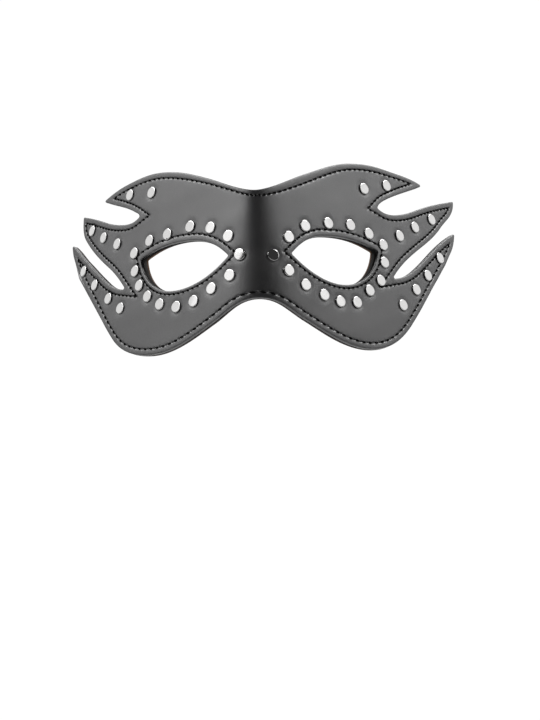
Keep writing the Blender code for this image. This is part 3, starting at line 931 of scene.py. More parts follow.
@dataclass(frozen=True)
class LiningFinish:
    """Black split lining with a soft nap, brown along the walls of its eye holes toward their outer
    corners.
    """

    colour: tuple[float, float, float] = (0.016, 0.0145, 0.0140)
    light: tuple[float, float, float] = (0.034, 0.031, 0.030)
    rubbed: tuple[float, float, float] = (0.060, 0.056, 0.053)
    brown_edge: tuple[float, float, float] = (0.17, 0.085, 0.040)
    nap_scale: float = 3800.0
    nap_depth: float = 0.05 * MM

    def make(self, groups: Groups) -> bpy.types.Material:
        """Build the material."""
        material, tree, shader = new_material("napped_lining")
        place = tree.add("ShaderNodeTexCoord").outputs["Object"]
        grain = tree.group(groups.grain, Vector=place, Cell_Scale=2600.0, Patch_Scale=70.0)
        nap = tree.noise(place, self.nap_scale, 4.0, 0.75)
        brown_edge = tree.product(tree.mask("brown_edge"), tree.span(nap, 0.25, 0.60, 0.65, 1.0))
        colour = tree.mixed(tree.span(grain.outputs["Patch"], 0.30, 0.72), self.colour, self.light)
        colour = tree.mixed(groups.worn(tree, place, 260.0, 0.30), colour, self.rubbed)
        colour = tree.mixed(brown_edge, colour, self.brown_edge)
        height = tree.maths("ADD", tree.product(nap, 0.8), grain.outputs["Height"])
        tree.give(shader, Base_Color=colour, Roughness=tree.span(nap, 0.2, 0.8, 0.72, 0.92),
                  Normal=tree.bump(height, self.nap_depth, 0.8), Specular_IOR_Level=0.30,
                  Sheen_Weight=0.12, Sheen_Roughness=0.5)
        return material


@dataclass(frozen=True)
class NickelFinish:
    """Bright nickel plate with faint rolling lines, small scratches and a little haze."""

    colour: tuple[float, float, float] = (0.66, 0.655, 0.65)
    hazed: tuple[float, float, float] = (0.54, 0.53, 0.52)
    roughness: float = 0.075
    scratched: float = 0.14             # roughness where the rolling lines are strongest
    haze_added: float = 0.18            # further roughness where the haze is full
    line_depth: float = 0.0012 * MM

    def make(self, groups: Groups) -> bpy.types.Material:
        """Build the material."""
        material, tree, shader = new_material("bright_nickel")
        place = tree.add("ShaderNodeTexCoord").outputs["Object"]
        stretch = tree.add("ShaderNodeMapping")
        tree.give(stretch, Vector=place, Rotation=(0.4, 0.7, 0.9), Scale=(1.0, 1.0, 14.0))
        lines = tree.noise(stretch.outputs[0], 700.0, 3.0, 0.6)
        haze = groups.worn(tree, place, 520.0, 0.6)
        rough = tree.maths("ADD", tree.span(lines, 0.3, 0.8, self.roughness, self.scratched),
                           tree.product(haze, self.haze_added))
        tree.give(shader, Base_Color=tree.mixed(haze, self.colour, self.hazed), Roughness=rough,
                  Normal=tree.bump(lines, self.line_depth), Metallic=1.0)
        return material


@dataclass(frozen=True)
class ThreadFinish:
    """Black waxed thread, twisted, with a few loose fibres."""

    colour: tuple[float, float, float] = (0.0020, 0.0019, 0.0020)
    light: tuple[float, float, float] = (0.0050, 0.0048, 0.0050)
    twist: float = 1500.0
    ply_depth: float = 0.10 * MM

    def make(self, groups: Groups) -> bpy.types.Material:
        """Build the material. The twist runs slantwise over the thread's own map."""
        material, tree, shader = new_material("black_thread")
        place = tree.add("ShaderNodeUVMap", uv_map=PATTERN_MAP).outputs[0]
        split = tree.add("ShaderNodeSeparateXYZ")
        tree.give(split, Vector=place)
        slant = tree.maths("ADD", split.outputs["X"], tree.product(split.outputs["Y"], 0.8))
        ply = tree.maths("ABSOLUTE", tree.maths(
            "SINE", tree.product(slant, self.twist * math.pi)))
        yarn = tree.group(groups.yarn, Vector=place, Row_Scale=6000.0, Step_Scale=1500.0)
        tree.give(shader, Base_Color=tree.mixed(yarn.outputs["Fuzz"], self.colour, self.light),
                  Roughness=tree.span(ply, 0.0, 1.0, 0.85, 0.65),
                  Normal=tree.bump(ply, self.ply_depth, 0.8), Specular_IOR_Level=0.06)
        return material


@dataclass(frozen=True)
class ElasticFinish:
    """Black woven elastic: ribs along the band, short yarns across them, and a soft fuzz."""

    colour: tuple[float, float, float] = (0.0085, 0.0085, 0.0090)
    light: tuple[float, float, float] = (0.030, 0.030, 0.031)
    rubbed: tuple[float, float, float] = (0.040, 0.040, 0.041)
    row_scale: float = 2133.0
    step_scale: float = 1250.0
    weave_depth: float = 0.16 * MM

    def make(self, groups: Groups) -> bpy.types.Material:
        """Build the material on the band's own map, in metres along and across it."""
        material, tree, shader = new_material("black_elastic")
        place = tree.add("ShaderNodeUVMap", uv_map=PATTERN_MAP).outputs[0]
        yarn = tree.group(groups.yarn, Vector=place, Row_Scale=self.row_scale,
                          Step_Scale=self.step_scale)
        fuzz = tree.span(yarn.outputs["Fuzz"], 0.45, 0.75)
        colour = tree.mixed(tree.product(yarn.outputs["Height"], fuzz), self.colour, self.light)
        colour = tree.mixed(groups.worn(tree, place, 300.0, 0.4), colour, self.rubbed)
        height = tree.maths("ADD", yarn.outputs["Height"], tree.product(fuzz, 0.25))
        tree.give(shader, Base_Color=colour, Roughness=tree.span(fuzz, 0.0, 1.0, 0.70, 0.9),
                  Normal=tree.bump(height, self.weave_depth, 0.9), Specular_IOR_Level=0.35,
                  Sheen_Weight=0.15)
        return material


@dataclass(frozen=True)
class StudioFinish:
    """Plain pale paper of the floor and the backdrop."""

    colour: tuple[float, float, float] = (0.86, 0.86, 0.86)
    speck: tuple[float, float, float] = (0.83, 0.83, 0.83)
    roughness: float = 0.9
    glow: float = 1.06
    glow_share: float = 0.93

    def make(self) -> bpy.types.Material:
        """Build the material: paper that the camera sees nearly as bright as its light."""
        material, tree, shader = new_material("pale_paper")
        place = tree.add("ShaderNodeTexCoord").outputs["Object"]
        speck = tree.span(tree.noise(place, 90.0), 0.3, 0.7)
        tree.give(shader, Base_Color=tree.mixed(speck, self.colour, self.speck),
                  Roughness=self.roughness)
        glow = tree.add("ShaderNodeEmission")
        tree.give(glow, Color=(self.glow, self.glow, self.glow, 1.0))
        seen = tree.add("ShaderNodeLightPath").outputs["Is Camera Ray"]
        mix = tree.add("ShaderNodeMixShader")
        tree.feed(mix.inputs[0], tree.product(seen, self.glow_share))
        tree.feed(mix.inputs[1], shader.outputs[0])
        tree.feed(mix.inputs[2], glow.outputs[0])
        tree.give(material.node_tree.nodes["Material Output"], Surface=mix.outputs[0])
        return material


# Pieces


@dataclass
class Seam:
    """The stitching that joins the two layers: its lines, its needle holes and its thread."""

    pattern: Pattern
    inset: float = 3.4 * MM
    eye_inset: float = 2.9 * MM
    eye_lift: float = 0.8 * MM
    pitch: float = 3.5 * MM
    brow_pitch: float = 4.1 * MM        # of the brow and of the upper runs of the eye holes
    cheek_pitch: float = 4.6 * MM
    cheek_line: float = -30.0 * MM      # a run whose lowest point is under this is a cheek's
    eye_line: float = 0.0               # an eye hole's run whose mean is over this is the upper
    thread: float = 0.60 * MM           # radius of the thread on the front
    slant: float = 0.30 * MM            # half of how far a stitch lies aslant of its line
    lines: list[np.ndarray] = field(init=False)
    starts: np.ndarray = field(init=False)
    ends: np.ndarray = field(init=False)

    def __post_init__(self) -> None:
        """Cut each line into stitches of nearly the pitch of its run."""
        self.lines = self.pattern.seams((self.inset, self.eye_inset), self.eye_lift)
        starts, ends = [], []
        for i, line in enumerate(self.lines):
            total = lengths_along(line)[-1]
            upper_eye = i >= len(self.lines) - 4 and line[:, 1].mean() > self.eye_line
            if i == 0 or upper_eye:
                pitch = self.brow_pitch
            else:
                pitch = self.cheek_pitch if line[:, 1].min() < self.cheek_line else self.pitch
            count = max(2, int(round(total / pitch)))
            holes = at_lengths(line, np.linspace(0.0, total, count + 1))
            starts.append(holes[:-1])
            ends.append(holes[1:])
        self.starts, self.ends = np.vstack(starts), np.vstack(ends)

    def holes(self) -> np.ndarray:
        """Return the needle holes, each once."""
        holes = np.vstack([self.starts, self.ends])
        return holes[first_in_cell(holes, 0.4 * MM)]

    def thread_path(self, share: np.ndarray) -> np.ndarray:
        """Return points over every stitch at shares of its length, of shape (stitches, m, 2)."""
        step = self.ends - self.starts
        side = unit(np.stack([step[:, 1], -step[:, 0]], -1))
        flat = self.starts[:, None, :] + share[None, :, None] * step[:, None, :]
        return flat + self.slant * (2 * share[None, :, None] - 1) * side[:, None, :]


@dataclass
class Sheet:
    """The flat mesh of a layer, with its distances.

    The fine face has rings of points at set distances from the edges, points round the needle
    holes and the rivets, and a grid between them. The coarse face has a wide grid alone.
    """

    pattern: Pattern
    seam: Seam
    eye: tuple[Spot, ...]
    hole_radius: float = 1.5 * MM
    hole_sides: int = 14
    rings: tuple[float, ...] = (0.10, 0.22, 0.38, 0.58, 0.85, 1.2, 1.6, 2.0, 2.35, 2.6, 2.8, 3.0,
                                3.2, 3.4, 3.6, 3.8, 4.05, 4.4, 4.9, 5.6, 6.6)
    stud_rings: tuple[float, ...] = (2.6 * MM, 3.5 * MM, 3.8 * MM, 4.2 * MM, 4.8 * MM, 5.6 * MM)
    stud_counts: tuple[int, ...] = (18, 30, 30, 30, 30, 30)
    pit_rings: tuple[float, ...] = (0.02 * MM, 0.3 * MM, 0.6 * MM)
    pit_counts: tuple[int, ...] = (1, 6, 8)
    stud_reach: float = 6.4 * MM        # the grid starts this far from a rivet's middle
    least_away: float = 0.12 * MM       # how near to an edge a point round a hole may lie
    least_apart: float = 0.13 * MM
    grid_step: float = 1.6 * MM
    coarse_step: float = 3.6 * MM
    edges: list[np.ndarray] = field(init=False)
    loops: list[np.ndarray] = field(init=False)
    normal: np.ndarray = field(init=False)
    fine: np.ndarray = field(init=False)
    coarse: np.ndarray = field(init=False)
    fine_faces: np.ndarray = field(init=False)
    coarse_faces: np.ndarray = field(init=False)
    away: np.ndarray = field(init=False)
    line: np.ndarray = field(init=False)
    hole: np.ndarray = field(init=False)
    stud: np.ndarray = field(init=False)

    def __post_init__(self) -> None:
        """Place the points, triangulate them and measure the distances."""
        self.edges = self.pattern.edges(self.eye)
        studs = self.pattern.studs()
        holes = circles(studs, (self.hole_radius,), (self.hole_sides,))
        holes = list(holes.reshape(-1, self.hole_sides, 2)[:, ::-1])
        self.loops = self.edges + holes
        self.normal = np.vstack([right_hand(edge, True) for edge in self.edges]
                                + [np.zeros((self.hole_sides * len(holes), 2))])
        rim = np.vstack(self.loops)
        inner, away = self.fine_points(studs)
        self.fine = np.vstack([rim, inner])
        coarse = self.grid(self.coarse_step)
        coarse = coarse[distance_to(coarse, self.edges, True) > 1.2 * MM]
        coarse = coarse[to_nearest(coarse, studs) > self.hole_radius + 0.6 * MM]
        self.coarse = np.vstack([rim, coarse])
        self.fine_faces = triangulated(self.loops, inner, len(holes))
        self.coarse_faces = triangulated(self.loops, coarse, len(holes))
        on_rim = np.concatenate([np.zeros(sum(map(len, self.edges))), np.full(
            self.hole_sides * len(holes), 9.0 * MM)])
        self.away = np.concatenate([on_rim, away])
        self.line = distance_to(self.fine, self.seam.lines, False)
        self.hole = to_nearest(self.fine, self.seam.holes())
        self.stud = to_nearest(self.fine, studs)

    def rims(self) -> int:
        """Return the number of points on all rims, which come first."""
        return len(self.normal)

    def grid(self, step: float) -> np.ndarray:
        """Return a grid of points inside the outer edge and outside the eye holes."""
        reach, height = 170.0 * MM, 60.0 * MM
        columns = np.arange(-reach, reach, step)
        along, up = np.meshgrid(columns, np.arange(-height, height, step), indexing="ij")
        up = up + (np.arange(len(columns)) % 2)[:, None] * step / 2
        grid = np.stack([along.ravel(), up.ravel()], -1)
        grid = grid[inside(grid, self.edges[0])]
        return grid[~(inside(grid, self.edges[1]) | inside(grid, self.edges[2]))]

    def fine_points(self, studs: np.ndarray) -> tuple[np.ndarray, np.ndarray]:
        """Return the inner points of the fine face and their distances to the edge."""
        rings, wanted = [], []
        for distance in self.rings:
            for edge in self.edges:
                rings.append(edge + distance * MM * right_hand(edge, True))
                wanted.append(np.full(len(edge), distance * MM))
        round_studs = circles(studs, self.stud_rings, self.stud_counts)
        pits = circles(self.seam.holes(), self.pit_rings, self.pit_counts)
        grid = self.grid(self.grid_step)
        grid = grid[to_nearest(grid, studs) > self.stud_reach]
        points = np.vstack([pits] + rings + [round_studs, grid])
        least = np.concatenate([np.full(len(pits), self.least_away)] + [d - 0.02 * MM for d in wanted]
                               + [np.full(len(round_studs), self.least_away),
                                  np.full(len(grid), (self.rings[-1] + 0.8) * MM)])
        away = distance_to(points, self.edges, True)
        kept = (away > least) & (to_nearest(points, studs) > self.hole_radius + 0.3 * MM)
        points, away = points[kept], away[kept]
        apart = first_in_cell(points, self.least_apart)
        return points[apart], away[apart]


@dataclass
class Panel:
    """One layer of the mask, cut to the pattern, bent, and pressed along its stitch lines.

    The face that shows is the fine face of the sheet, with a relief. The hidden face is plain.
    """

    sheet: Sheet
    bend: Bend
    name: str
    node: str
    slot: Slot
    face: Face
    shown_depth: float
    hidden_depth: float
    edge_round: float = 0.55 * MM
    edge_drop: float = 0.38 * MM
    crown: float = 0.10 * MM
    groove: float = 0.14 * MM
    groove_width: float = 0.40 * MM
    press: float = 0.06 * MM
    press_width: float = 1.5 * MM
    pit: float = 0.50 * MM
    pit_width: float = 0.48 * MM
    dimple: float = 0.22 * MM
    dimple_width: float = 1.3 * MM
    cap_radius: float = 3.5 * MM
    wave: float = 0.10 * MM
    wave_lengths: tuple[float, ...] = (46.0, 34.0, 27.0, 19.0, 14.0)    # mm, the longest first
    wall_rows: tuple[tuple[float, float], ...] = (
        (-0.05, 0.55), (-0.05, 0.76), (0.02, 0.90), (0.10, 0.97))   # inset in mm, share of the wall
    hidden_inset: float = 0.24 * MM
    worn_width: float = 1.6 * MM
    outer_brown: float = 0.12
    brown_start: float = 62.0 * MM        # the brown eye edges begin this far from the nose line
    brown_width: float = 14.0 * MM

    def relief(self) -> np.ndarray:
        """Return how far each point of the shown face lies under its plane.

        The sum of: a quarter ellipse at the edge, less a crown of half a sine between the edge
        and the stitch line; a narrow and a wide bell along the stitch line; a small bell at
        each needle hole; a bell round each rivet; and slow waves over the whole face.
        """
        sheet = self.sheet
        rim = np.clip(1.0 - sheet.away / self.edge_round, 0.0, 1.0)
        drop = self.edge_drop * (1.0 - np.sqrt(1.0 - rim * rim))
        drop -= self.strip(sheet.away)
        drop += self.groove * np.exp(-(sheet.line / self.groove_width) ** 2)
        drop += self.press * np.exp(-(sheet.line / self.press_width) ** 2)
        drop += self.pit * np.exp(-(sheet.hole / self.pit_width) ** 2)
        past = np.maximum(sheet.stud - self.cap_radius, 0.0)
        drop += self.dimple * np.exp(-(past / self.dimple_width) ** 2)
        return drop + self.waves(sheet.fine)

    def strip(self, away: np.ndarray) -> np.ndarray:
        """Return the rise of the strip beyond the stitch line: half a sine across it."""
        return self.crown * np.sin(np.pi * np.clip(away / self.sheet.seam.inset, 0.0, 1.0))

    def waves(self, flat: np.ndarray) -> np.ndarray:
        """Return slow waves of the sheet: a sum of five sines with seeded directions."""
        generator = np.random.default_rng(SEED)
        total = np.zeros(flat.shape[:-1])
        for length in self.wave_lengths:
            angle, phase = generator.uniform(0.0, 2 * math.pi, 2)
            course = flat[..., 0] * math.cos(angle) + flat[..., 1] * math.sin(angle)
            total += np.sin(2 * math.pi * course / (length * MM) + phase) * length / self.wave_lengths[0]
        return self.wave * total / 2.0

    def build(self, material: bpy.types.Material) -> bpy.types.Object:
        """Make the layer: shown face, wall with a rounded far edge, and hidden face."""
        sheet, sign = self.sheet, self.face.value
        rims = sheet.rims()
        rim = sheet.fine[:rims]
        relief = self.relief()
        thick = abs(self.hidden_depth - self.shown_depth)
        parts = [self.bend.point(sheet.fine, self.shown_depth + sign * relief)]
        rows = self.wall_rows
        for inset, down in rows:
            drop = np.maximum(thick * down + self.waves(rim), relief[:rims] + 0.01 * MM)
            parts.append(self.bend.point(rim + inset * MM * sheet.normal,
                                         self.shown_depth + sign * drop))
        under = sheet.coarse.copy()
        under[:rims] += self.hidden_inset * sheet.normal
        parts.append(self.bend.point(under, self.hidden_depth + sign * self.waves(sheet.coarse)))
        starts = [0] + [len(sheet.fine) + i * rims for i in range(len(rows) + 1)]
        quads = [self.turned(self.wall_faces(sheet.loops, upper, lower), False)
                 for upper, lower in zip(starts[:-1], starts[1:])]
        triangles = [self.turned(sheet.fine_faces, False),
                     self.turned(sheet.coarse_faces + starts[-1], True)]
        flat = np.vstack([sheet.fine] + [rim] * len(rows) + [sheet.coarse])
        return add_piece(self.name, np.vstack(parts), [np.vstack(triangles), np.vstack(quads)],
                         material, flat, self.masks(len(rows)), (self.node,))

    def turned(self, faces: np.ndarray, other: bool) -> np.ndarray:
        """Return faces wound so that they point outwards on this layer."""
        flip = (self.face is Face.HEAD) != other
        return faces[:, ::-1] if flip else faces

    @staticmethod
    def wall_faces(loops: list[np.ndarray], upper: int, lower: int) -> np.ndarray:
        """Return the quads between two rows of the rim's points, loop by loop."""
        quads = []
        first = 0
        for loop in loops:
            i = np.arange(len(loop))
            j = (i + 1) % len(loop)
            quads.append(np.stack([upper + first + i, upper + first + j,
                                   lower + first + j, lower + first + i], -1))
            first += len(loop)
        return np.vstack(quads)

    def masks(self, walls: int) -> dict[str, np.ndarray]:
        """Return the masks of the rubbed edge and of the brown edge, per vertex.

        edge falls from 1 at the rim to 0 at the worn width from it. The brown mask is 1 on the wall of
        the eye holes near their outer corners and the layer's rear face, and small on the outer wall.
        """
        sheet, rims = self.sheet, self.sheet.rims()
        edge = 1.0 - smooth(sheet.away / self.worn_width)
        outer = len(sheet.edges[0])
        eyes = outer + len(sheet.edges[1]) + len(sheet.edges[2])
        ring = np.zeros(rims)
        beside = np.abs(sheet.fine[outer:eyes, 0])
        ring[:outer] = self.outer_brown
        ring[outer:eyes] = smooth((beside - self.brown_start) / self.brown_width)
        brown_edge = [np.zeros(len(sheet.fine))]
        brown_edge += [ring * (1.0 - i / walls) for i in range(walls)]
        brown_edge.append(np.zeros(len(sheet.coarse)))
        brown_edge[0][:rims] = ring
        if self.face is Face.FRONT:
            brown_edge = [values * 0.0 for values in brown_edge]
        full = np.concatenate([edge, np.ones(walls * rims + len(sheet.coarse))])
        return {"edge": full, "brown_edge": np.concatenate(brown_edge)}


@dataclass
class Stitches:
    """The middle lines of some stitches on the bent sheet.

    flat has their pattern points, of shape (stitches, rings, 2), and depth how far each lies
    under the front face. step leads from the first to the second needle hole of each stitch,
    and share is the share of the stitch at each ring.
    """

    bend: Bend
    flat: np.ndarray
    depth: np.ndarray
    step: np.ndarray
    share: np.ndarray

    def add(self, name: str, radius: float, swell: np.ndarray, sides: int, sign: int,
            material: bpy.types.Material) -> bpy.types.Object:
        """Make one closed tube for each stitch. Its own map runs along and round the thread.

        Args:
            name: the piece's name.
            radius: the thread's radius.
            swell: the share of that radius at each ring.
            sides: number of sides of a tube.
            sign: 1 to wind the tubes from the front's direction, -1 from the opposite one.
            material: the thread's finish.

        Returns:
            The object.
        """
        middle = self.bend.point(self.flat, self.depth)
        tangent, up, out = self.bend.frame(self.flat[..., 0])
        side = unit(np.stack([self.step[:, 1], -self.step[:, 0]], -1))[:, None, :]
        across = side[..., 0:1] * tangent + side[..., 1:2] * up
        angle = ring_angles(sides)
        spoke = (np.cos(angle)[:, None] * across[:, :, None, :]
                 + np.sin(angle)[:, None] * sign * out[:, :, None, :])
        points = middle[:, :, None, :] + (radius * swell)[None, :, None, None] * spoke
        count, rings = self.flat.shape[:2]
        quads, caps = strip_faces(rings, sides, True), end_caps(rings, sides)
        if sign < 0:
            quads, caps = quads[:, ::-1], caps[:, ::-1]
        length = np.linalg.norm(self.step, axis=1)
        run = np.cumsum(length)[:, None, None] + self.share[None, :, None] * length[:, None, None]
        turn = (angle * radius)[None, None, :]
        chart = np.stack(np.broadcast_arrays(run, turn), -1).reshape(-1, 2)
        return add_piece(name, points.reshape(-1, 3),
                         [copies(quads, count, rings * sides), copies(caps, count, rings * sides)],
                         material, chart)


@dataclass
class Thread:
    """The thread of one face: a short arched tube for each stitch, sunk into its holes."""

    panel: Panel
    name: str
    radius: float
    rings: int = 11
    sides: int = 7
    arch: float = 0.22 * MM
    dive: float = 0.55 * MM
    stout: float = 0.23
    least: float = 0.24

    def build(self, material: bpy.types.Material) -> bpy.types.Object:
        """Make the stitches.

        With r = exp(-((t - 0.5) / stout)^4) at the share t of its stitch, the middle of a tube
        lies r times the arch above the groove's bottom, less dive * (1 - sin(pi t))^2, and its
        radius grows with r from its least share to the full one.
        """
        panel, sheet = self.panel, self.panel.sheet
        share = np.linspace(0.02, 0.98, self.rings)
        flat = sheet.seam.thread_path(share)
        away = distance_to(flat.reshape(-1, 2), sheet.edges, True).reshape(len(flat), -1)
        ground = panel.groove + panel.press + panel.waves(flat) - panel.strip(away)
        rise = np.exp(-((share - 0.5) / self.stout) ** 4)
        height = self.arch * rise - self.dive * (1.0 - np.sin(np.pi * share)) ** 2
        sign = panel.face.value
        stitches = Stitches(panel.bend, flat, panel.shown_depth + sign * (ground - height[None, :]),
                            sheet.seam.ends - sheet.seam.starts, share)
        swell = self.least + (1.0 - self.least) * rise
        return stitches.add(self.name, self.radius, swell, self.sides, sign, material)


@dataclass
class Rivets:
    """The flat-capped rivets: caps on the front, shanks, and rolled caps on the lining.

    Each is a profile of radius and height over the front face, turned round its axis. Every cap
    lies a little askew, with seeded tilts.
    """

    pattern: Pattern
    bend: Bend
    nodes: tuple[str, ...]
    tilt: float = math.radians(0.55)
    sides: int = 36
    profile: tuple[tuple[float, float], ...] = (
        (0.02, 0.62), (0.9, 0.617), (1.8, 0.606), (2.5, 0.590), (2.9, 0.572), (3.08, 0.545),
        (3.20, 0.48), (3.28, 0.38), (3.31, 0.26), (3.28, 0.15), (3.16, 0.09), (2.6, 0.12),
        (1.1, 0.12), (1.1, -3.55), (2.05, -3.62), (2.27, -3.78), (2.30, -4.02), (2.20, -4.32),
        (1.92, -4.52), (1.55, -4.55), (1.22, -4.42), (1.05, -4.15), (0.92, -3.96), (0.5, -3.90),
        (0.02, -3.89))

    def build(self, material: bpy.types.Material) -> bpy.types.Object:
        """Make all rivets as one mesh."""
        flat = self.pattern.studs()
        tangent, rise, out = self.bend.frame(flat[:, 0])
        centre = self.bend.point(flat, np.zeros(len(flat)))
        lean = np.random.default_rng(SEED).normal(0.0, self.tilt, (len(flat), 2))
        axis = unit(out + lean[:, 0:1] * tangent + lean[:, 1:2] * rise)
        first = unit(tangent - np.sum(tangent * axis, -1, keepdims=True) * axis)
        second = np.cross(axis, first)
        radius, height = np.array(self.profile).T * MM
        angle = ring_angles(self.sides)
        spoke = (np.cos(angle)[None, :, None] * first[:, None, :]
                 + np.sin(angle)[None, :, None] * second[:, None, :])
        points = (centre[:, None, None, :] + height[None, :, None, None] * axis[:, None, None, :]
                  + radius[None, :, None, None] * spoke[:, None, :, :])
        rows = len(radius)
        stride = rows * self.sides
        quads, caps = strip_faces(rows, self.sides, True), end_caps(rows, self.sides)
        edge = np.repeat(np.interp(radius, [2.9 * MM, 3.4 * MM], [0.0, 1.0]), self.sides)
        return add_piece("rivets", points.reshape(-1, 3),
                         [copies(quads, len(flat), stride), copies(caps, len(flat), stride)],
                         material, None, {"edge": np.tile(edge, len(flat))},
                         self.nodes)


@dataclass
class Strap:
    """The elastic band from wing to wing round the back of the head, ribbed along its length."""

    pattern: Pattern
    bend: Bend
    width: float = 15.0 * MM
    wall: float = 1.4 * MM
    level: float = 1.0 * MM
    clearance: float = 0.8 * MM
    back_cap: float = 4.6 * MM
    gap: float = 0.3 * MM
    patch: float = 8.0 * MM
    loop_depth: float = 190.0 * MM
    loop_width: float = 124.0 * MM
    loop_rise: float = 36.0 * MM
    leave: float = 14.0 * MM
    ribs: int = 13
    rib: float = 0.11 * MM
    across: int = 105
    steps: int = 210
    patch_rows: int = 16
    melted: float = 0.9 * MM            # length of the thinned stretch at each end

    def start(self, side: Side) -> float:
        """Return how far from the nose line the band starts on one half, beside a rivet."""
        beside = self.pattern.half_studs(side)[STRAP_STUD]
        return abs(float(beside[0])) + self.back_cap / 2 + self.clearance

    def half(self, side: Side) -> tuple[np.ndarray, np.ndarray]:
        """Return the middle line of one half and the direction of its width at each point.

        The band lies flat on the lining for the patch, then follows a cubic curve to the back
        of the head, while its width turns upright.
        """
        sign = side.value
        start = self.start(side)
        along = sign * np.linspace(start, start + self.patch, self.patch_rows)
        flat = np.stack([along, np.full(len(along), self.level)], -1)
        depth = np.full(len(along), self.bend.wall + self.gap + self.wall / 2)
        patch = self.bend.point(flat, depth)
        tangent, rise, _ = self.bend.frame(along)
        back = np.array([0.0, self.loop_depth, self.loop_rise])
        corners = (patch[-1], patch[-1] + self.leave * sign * tangent[-1],
                   back + np.array([sign * self.loop_width / 2, 0.0, 0.0]), back)
        t = np.linspace(0.0, 1.0, self.steps + 1)[1:, None]
        loop = cubic(corners, t)
        ease = smooth(t)
        return (np.vstack([patch, loop]),
                np.vstack([rise, (1 - ease) * rise[-1] + ease * np.array([0.0, 0.0, 1.0])]))

    def build(self, material: bpy.types.Material) -> bpy.types.Object:
        """Make the band: a ribbed profile carried along the middle line, closed at both ends."""
        right, right_width = self.half(Side.RIGHT)
        left, left_width = self.half(Side.LEFT)
        middle = np.vstack([right, left[-2::-1]])
        width = np.vstack([right_width, left_width[-2::-1]])
        tangent = unit(np.gradient(middle, axis=0))
        width = unit(width - np.sum(width * tangent, axis=1, keepdims=True) * tangent)
        out = np.cross(tangent, width)
        across, thick = self.profile()
        taper = self.end_taper(lengths_along(middle))[:, None]
        side = across[None, :] * (1.0 - 0.02 * (1.0 - taper))
        points = (middle[:, None, :] + side[..., None] * width[:, None, :]
                  + (thick[None, :] * taper)[..., None] * out[:, None, :])
        rows, columns = points.shape[:2]
        run = np.broadcast_to(lengths_along(middle)[:, None], (rows, columns))
        place = np.broadcast_to(across[None, :] + self.width / 2, (rows, columns))
        edge = smooth((np.abs(across) - 0.42 * self.width) / (0.08 * self.width))
        return add_piece("elastic_strap", points.reshape(-1, 3),
                         [strip_faces(rows, columns, True)[:, ::-1],
                          end_caps(rows, columns)[:, ::-1]], material,
                         np.stack([run, place], -1).reshape(-1, 2),
                         {"edge": np.tile(edge, rows)}, ("strap",))

    def profile(self) -> tuple[np.ndarray, np.ndarray]:
        """Return the closed profile of the band: place across it and height over its middle.

        Each face is half the wall high, rounded off to the edges by a fourth power, with ribs
        of |sin| across it.
        """
        share = np.linspace(-1.0, 1.0, self.across)
        rib = self.rib * (np.abs(np.sin(np.pi * self.ribs * (share + 1) / 2)) - 1.0)
        body = self.wall / 2 * (1.0 - np.abs(share) ** 14) ** 0.5
        upper = body + rib * (1.0 - np.abs(share) ** 8)
        across = share * self.width / 2
        return (np.concatenate([across, across[-2:0:-1]]),
                np.concatenate([upper, -upper[-2:0:-1]]))

    def end_taper(self, run: np.ndarray) -> np.ndarray:
        """Return the share of the thickness near the two melted ends of the band."""
        near = np.minimum(run, run[-1] - run)
        return 0.55 + 0.45 * smooth(near / self.melted)


@dataclass
class StrapStitches:
    """The crossed box of stitches that holds each end of the strap to the lining."""

    strap: Strap
    radius: float = 0.27 * MM
    pitch: float = 1.9 * MM
    margin: float = 1.3 * MM
    sunk: float = 0.25 * MM             # depth of a stitch's ends in the band
    arch: float = 0.36 * MM
    roundness: float = 0.6
    rings: int = 7
    sides: int = 6

    def lines(self) -> list[np.ndarray]:
        """Return the sides and the diagonals of the box, over the patch from (0, 0) to (1, 1)."""
        corners = np.array([(0.0, 0.0), (1.0, 0.0), (1.0, 1.0), (0.0, 1.0)])
        sides = [np.stack([corners[i], corners[(i + 1) % 4]]) for i in range(4)]
        return sides + [corners[[0, 2]], corners[[1, 3]]]

    def build(self, material: bpy.types.Material) -> bpy.types.Object:
        """Make the stitches of both ends as small arched tubes lying on the band."""
        strap, bend = self.strap, self.strap.bend
        size = np.array([strap.patch - 2 * self.margin, strap.width - 2 * self.margin])
        firsts, lasts = [], []
        for side in Side:
            corner = np.array([strap.start(side) + self.margin, strap.level - size[1] / 2])
            for line in self.lines():
                placed = (corner + line * size) * np.array([side.value, 1.0])
                total = np.linalg.norm(placed[1] - placed[0])
                holes = at_lengths(placed, np.linspace(0.0, total, int(total / self.pitch) + 1))
                firsts.append(holes[:-1])
                lasts.append(holes[1:])
        first, last = np.vstack(firsts), np.vstack(lasts)
        step = last - first
        share = np.linspace(0.04, 0.96, self.rings)
        flat = first[:, None, :] + share[None, :, None] * step[:, None, :]
        rise = np.sin(np.pi * share) ** self.roundness
        depth = bend.wall + strap.gap + strap.wall - self.sunk + self.arch * rise
        stitches = Stitches(bend, flat, np.broadcast_to(depth, flat.shape[:2]), step, share)
        return stitches.add("strap_stitches", self.radius, 0.7 + 0.3 * rise, self.sides, 1,
                            material)


# Studio


@dataclass(frozen=True)
class Softbox:
    """A rectangular light: its place, the point that it faces, its size and its radiance."""

    name: str
    place: tuple[float, float, float]
    aim: tuple[float, float, float]
    size: tuple[float, float]
    radiance: float

    def build(self) -> None:
        """Make the light. Its power is the radiance times pi times its area."""
        light = bpy.data.lights.new(self.name, "AREA")
        light.shape = "RECTANGLE"
        light.size, light.size_y = self.size
        light.energy = self.radiance * math.pi * self.size[0] * self.size[1]
        made = bpy.data.objects.new(self.name, light)
        bpy.context.scene.collection.objects.link(made)
        away = Vector(self.place) - Vector(self.aim)
        made.matrix_world = (Matrix.Translation(self.place)
                             @ away.to_track_quat("Z", "Y").to_matrix().to_4x4())
        made.visible_camera = False


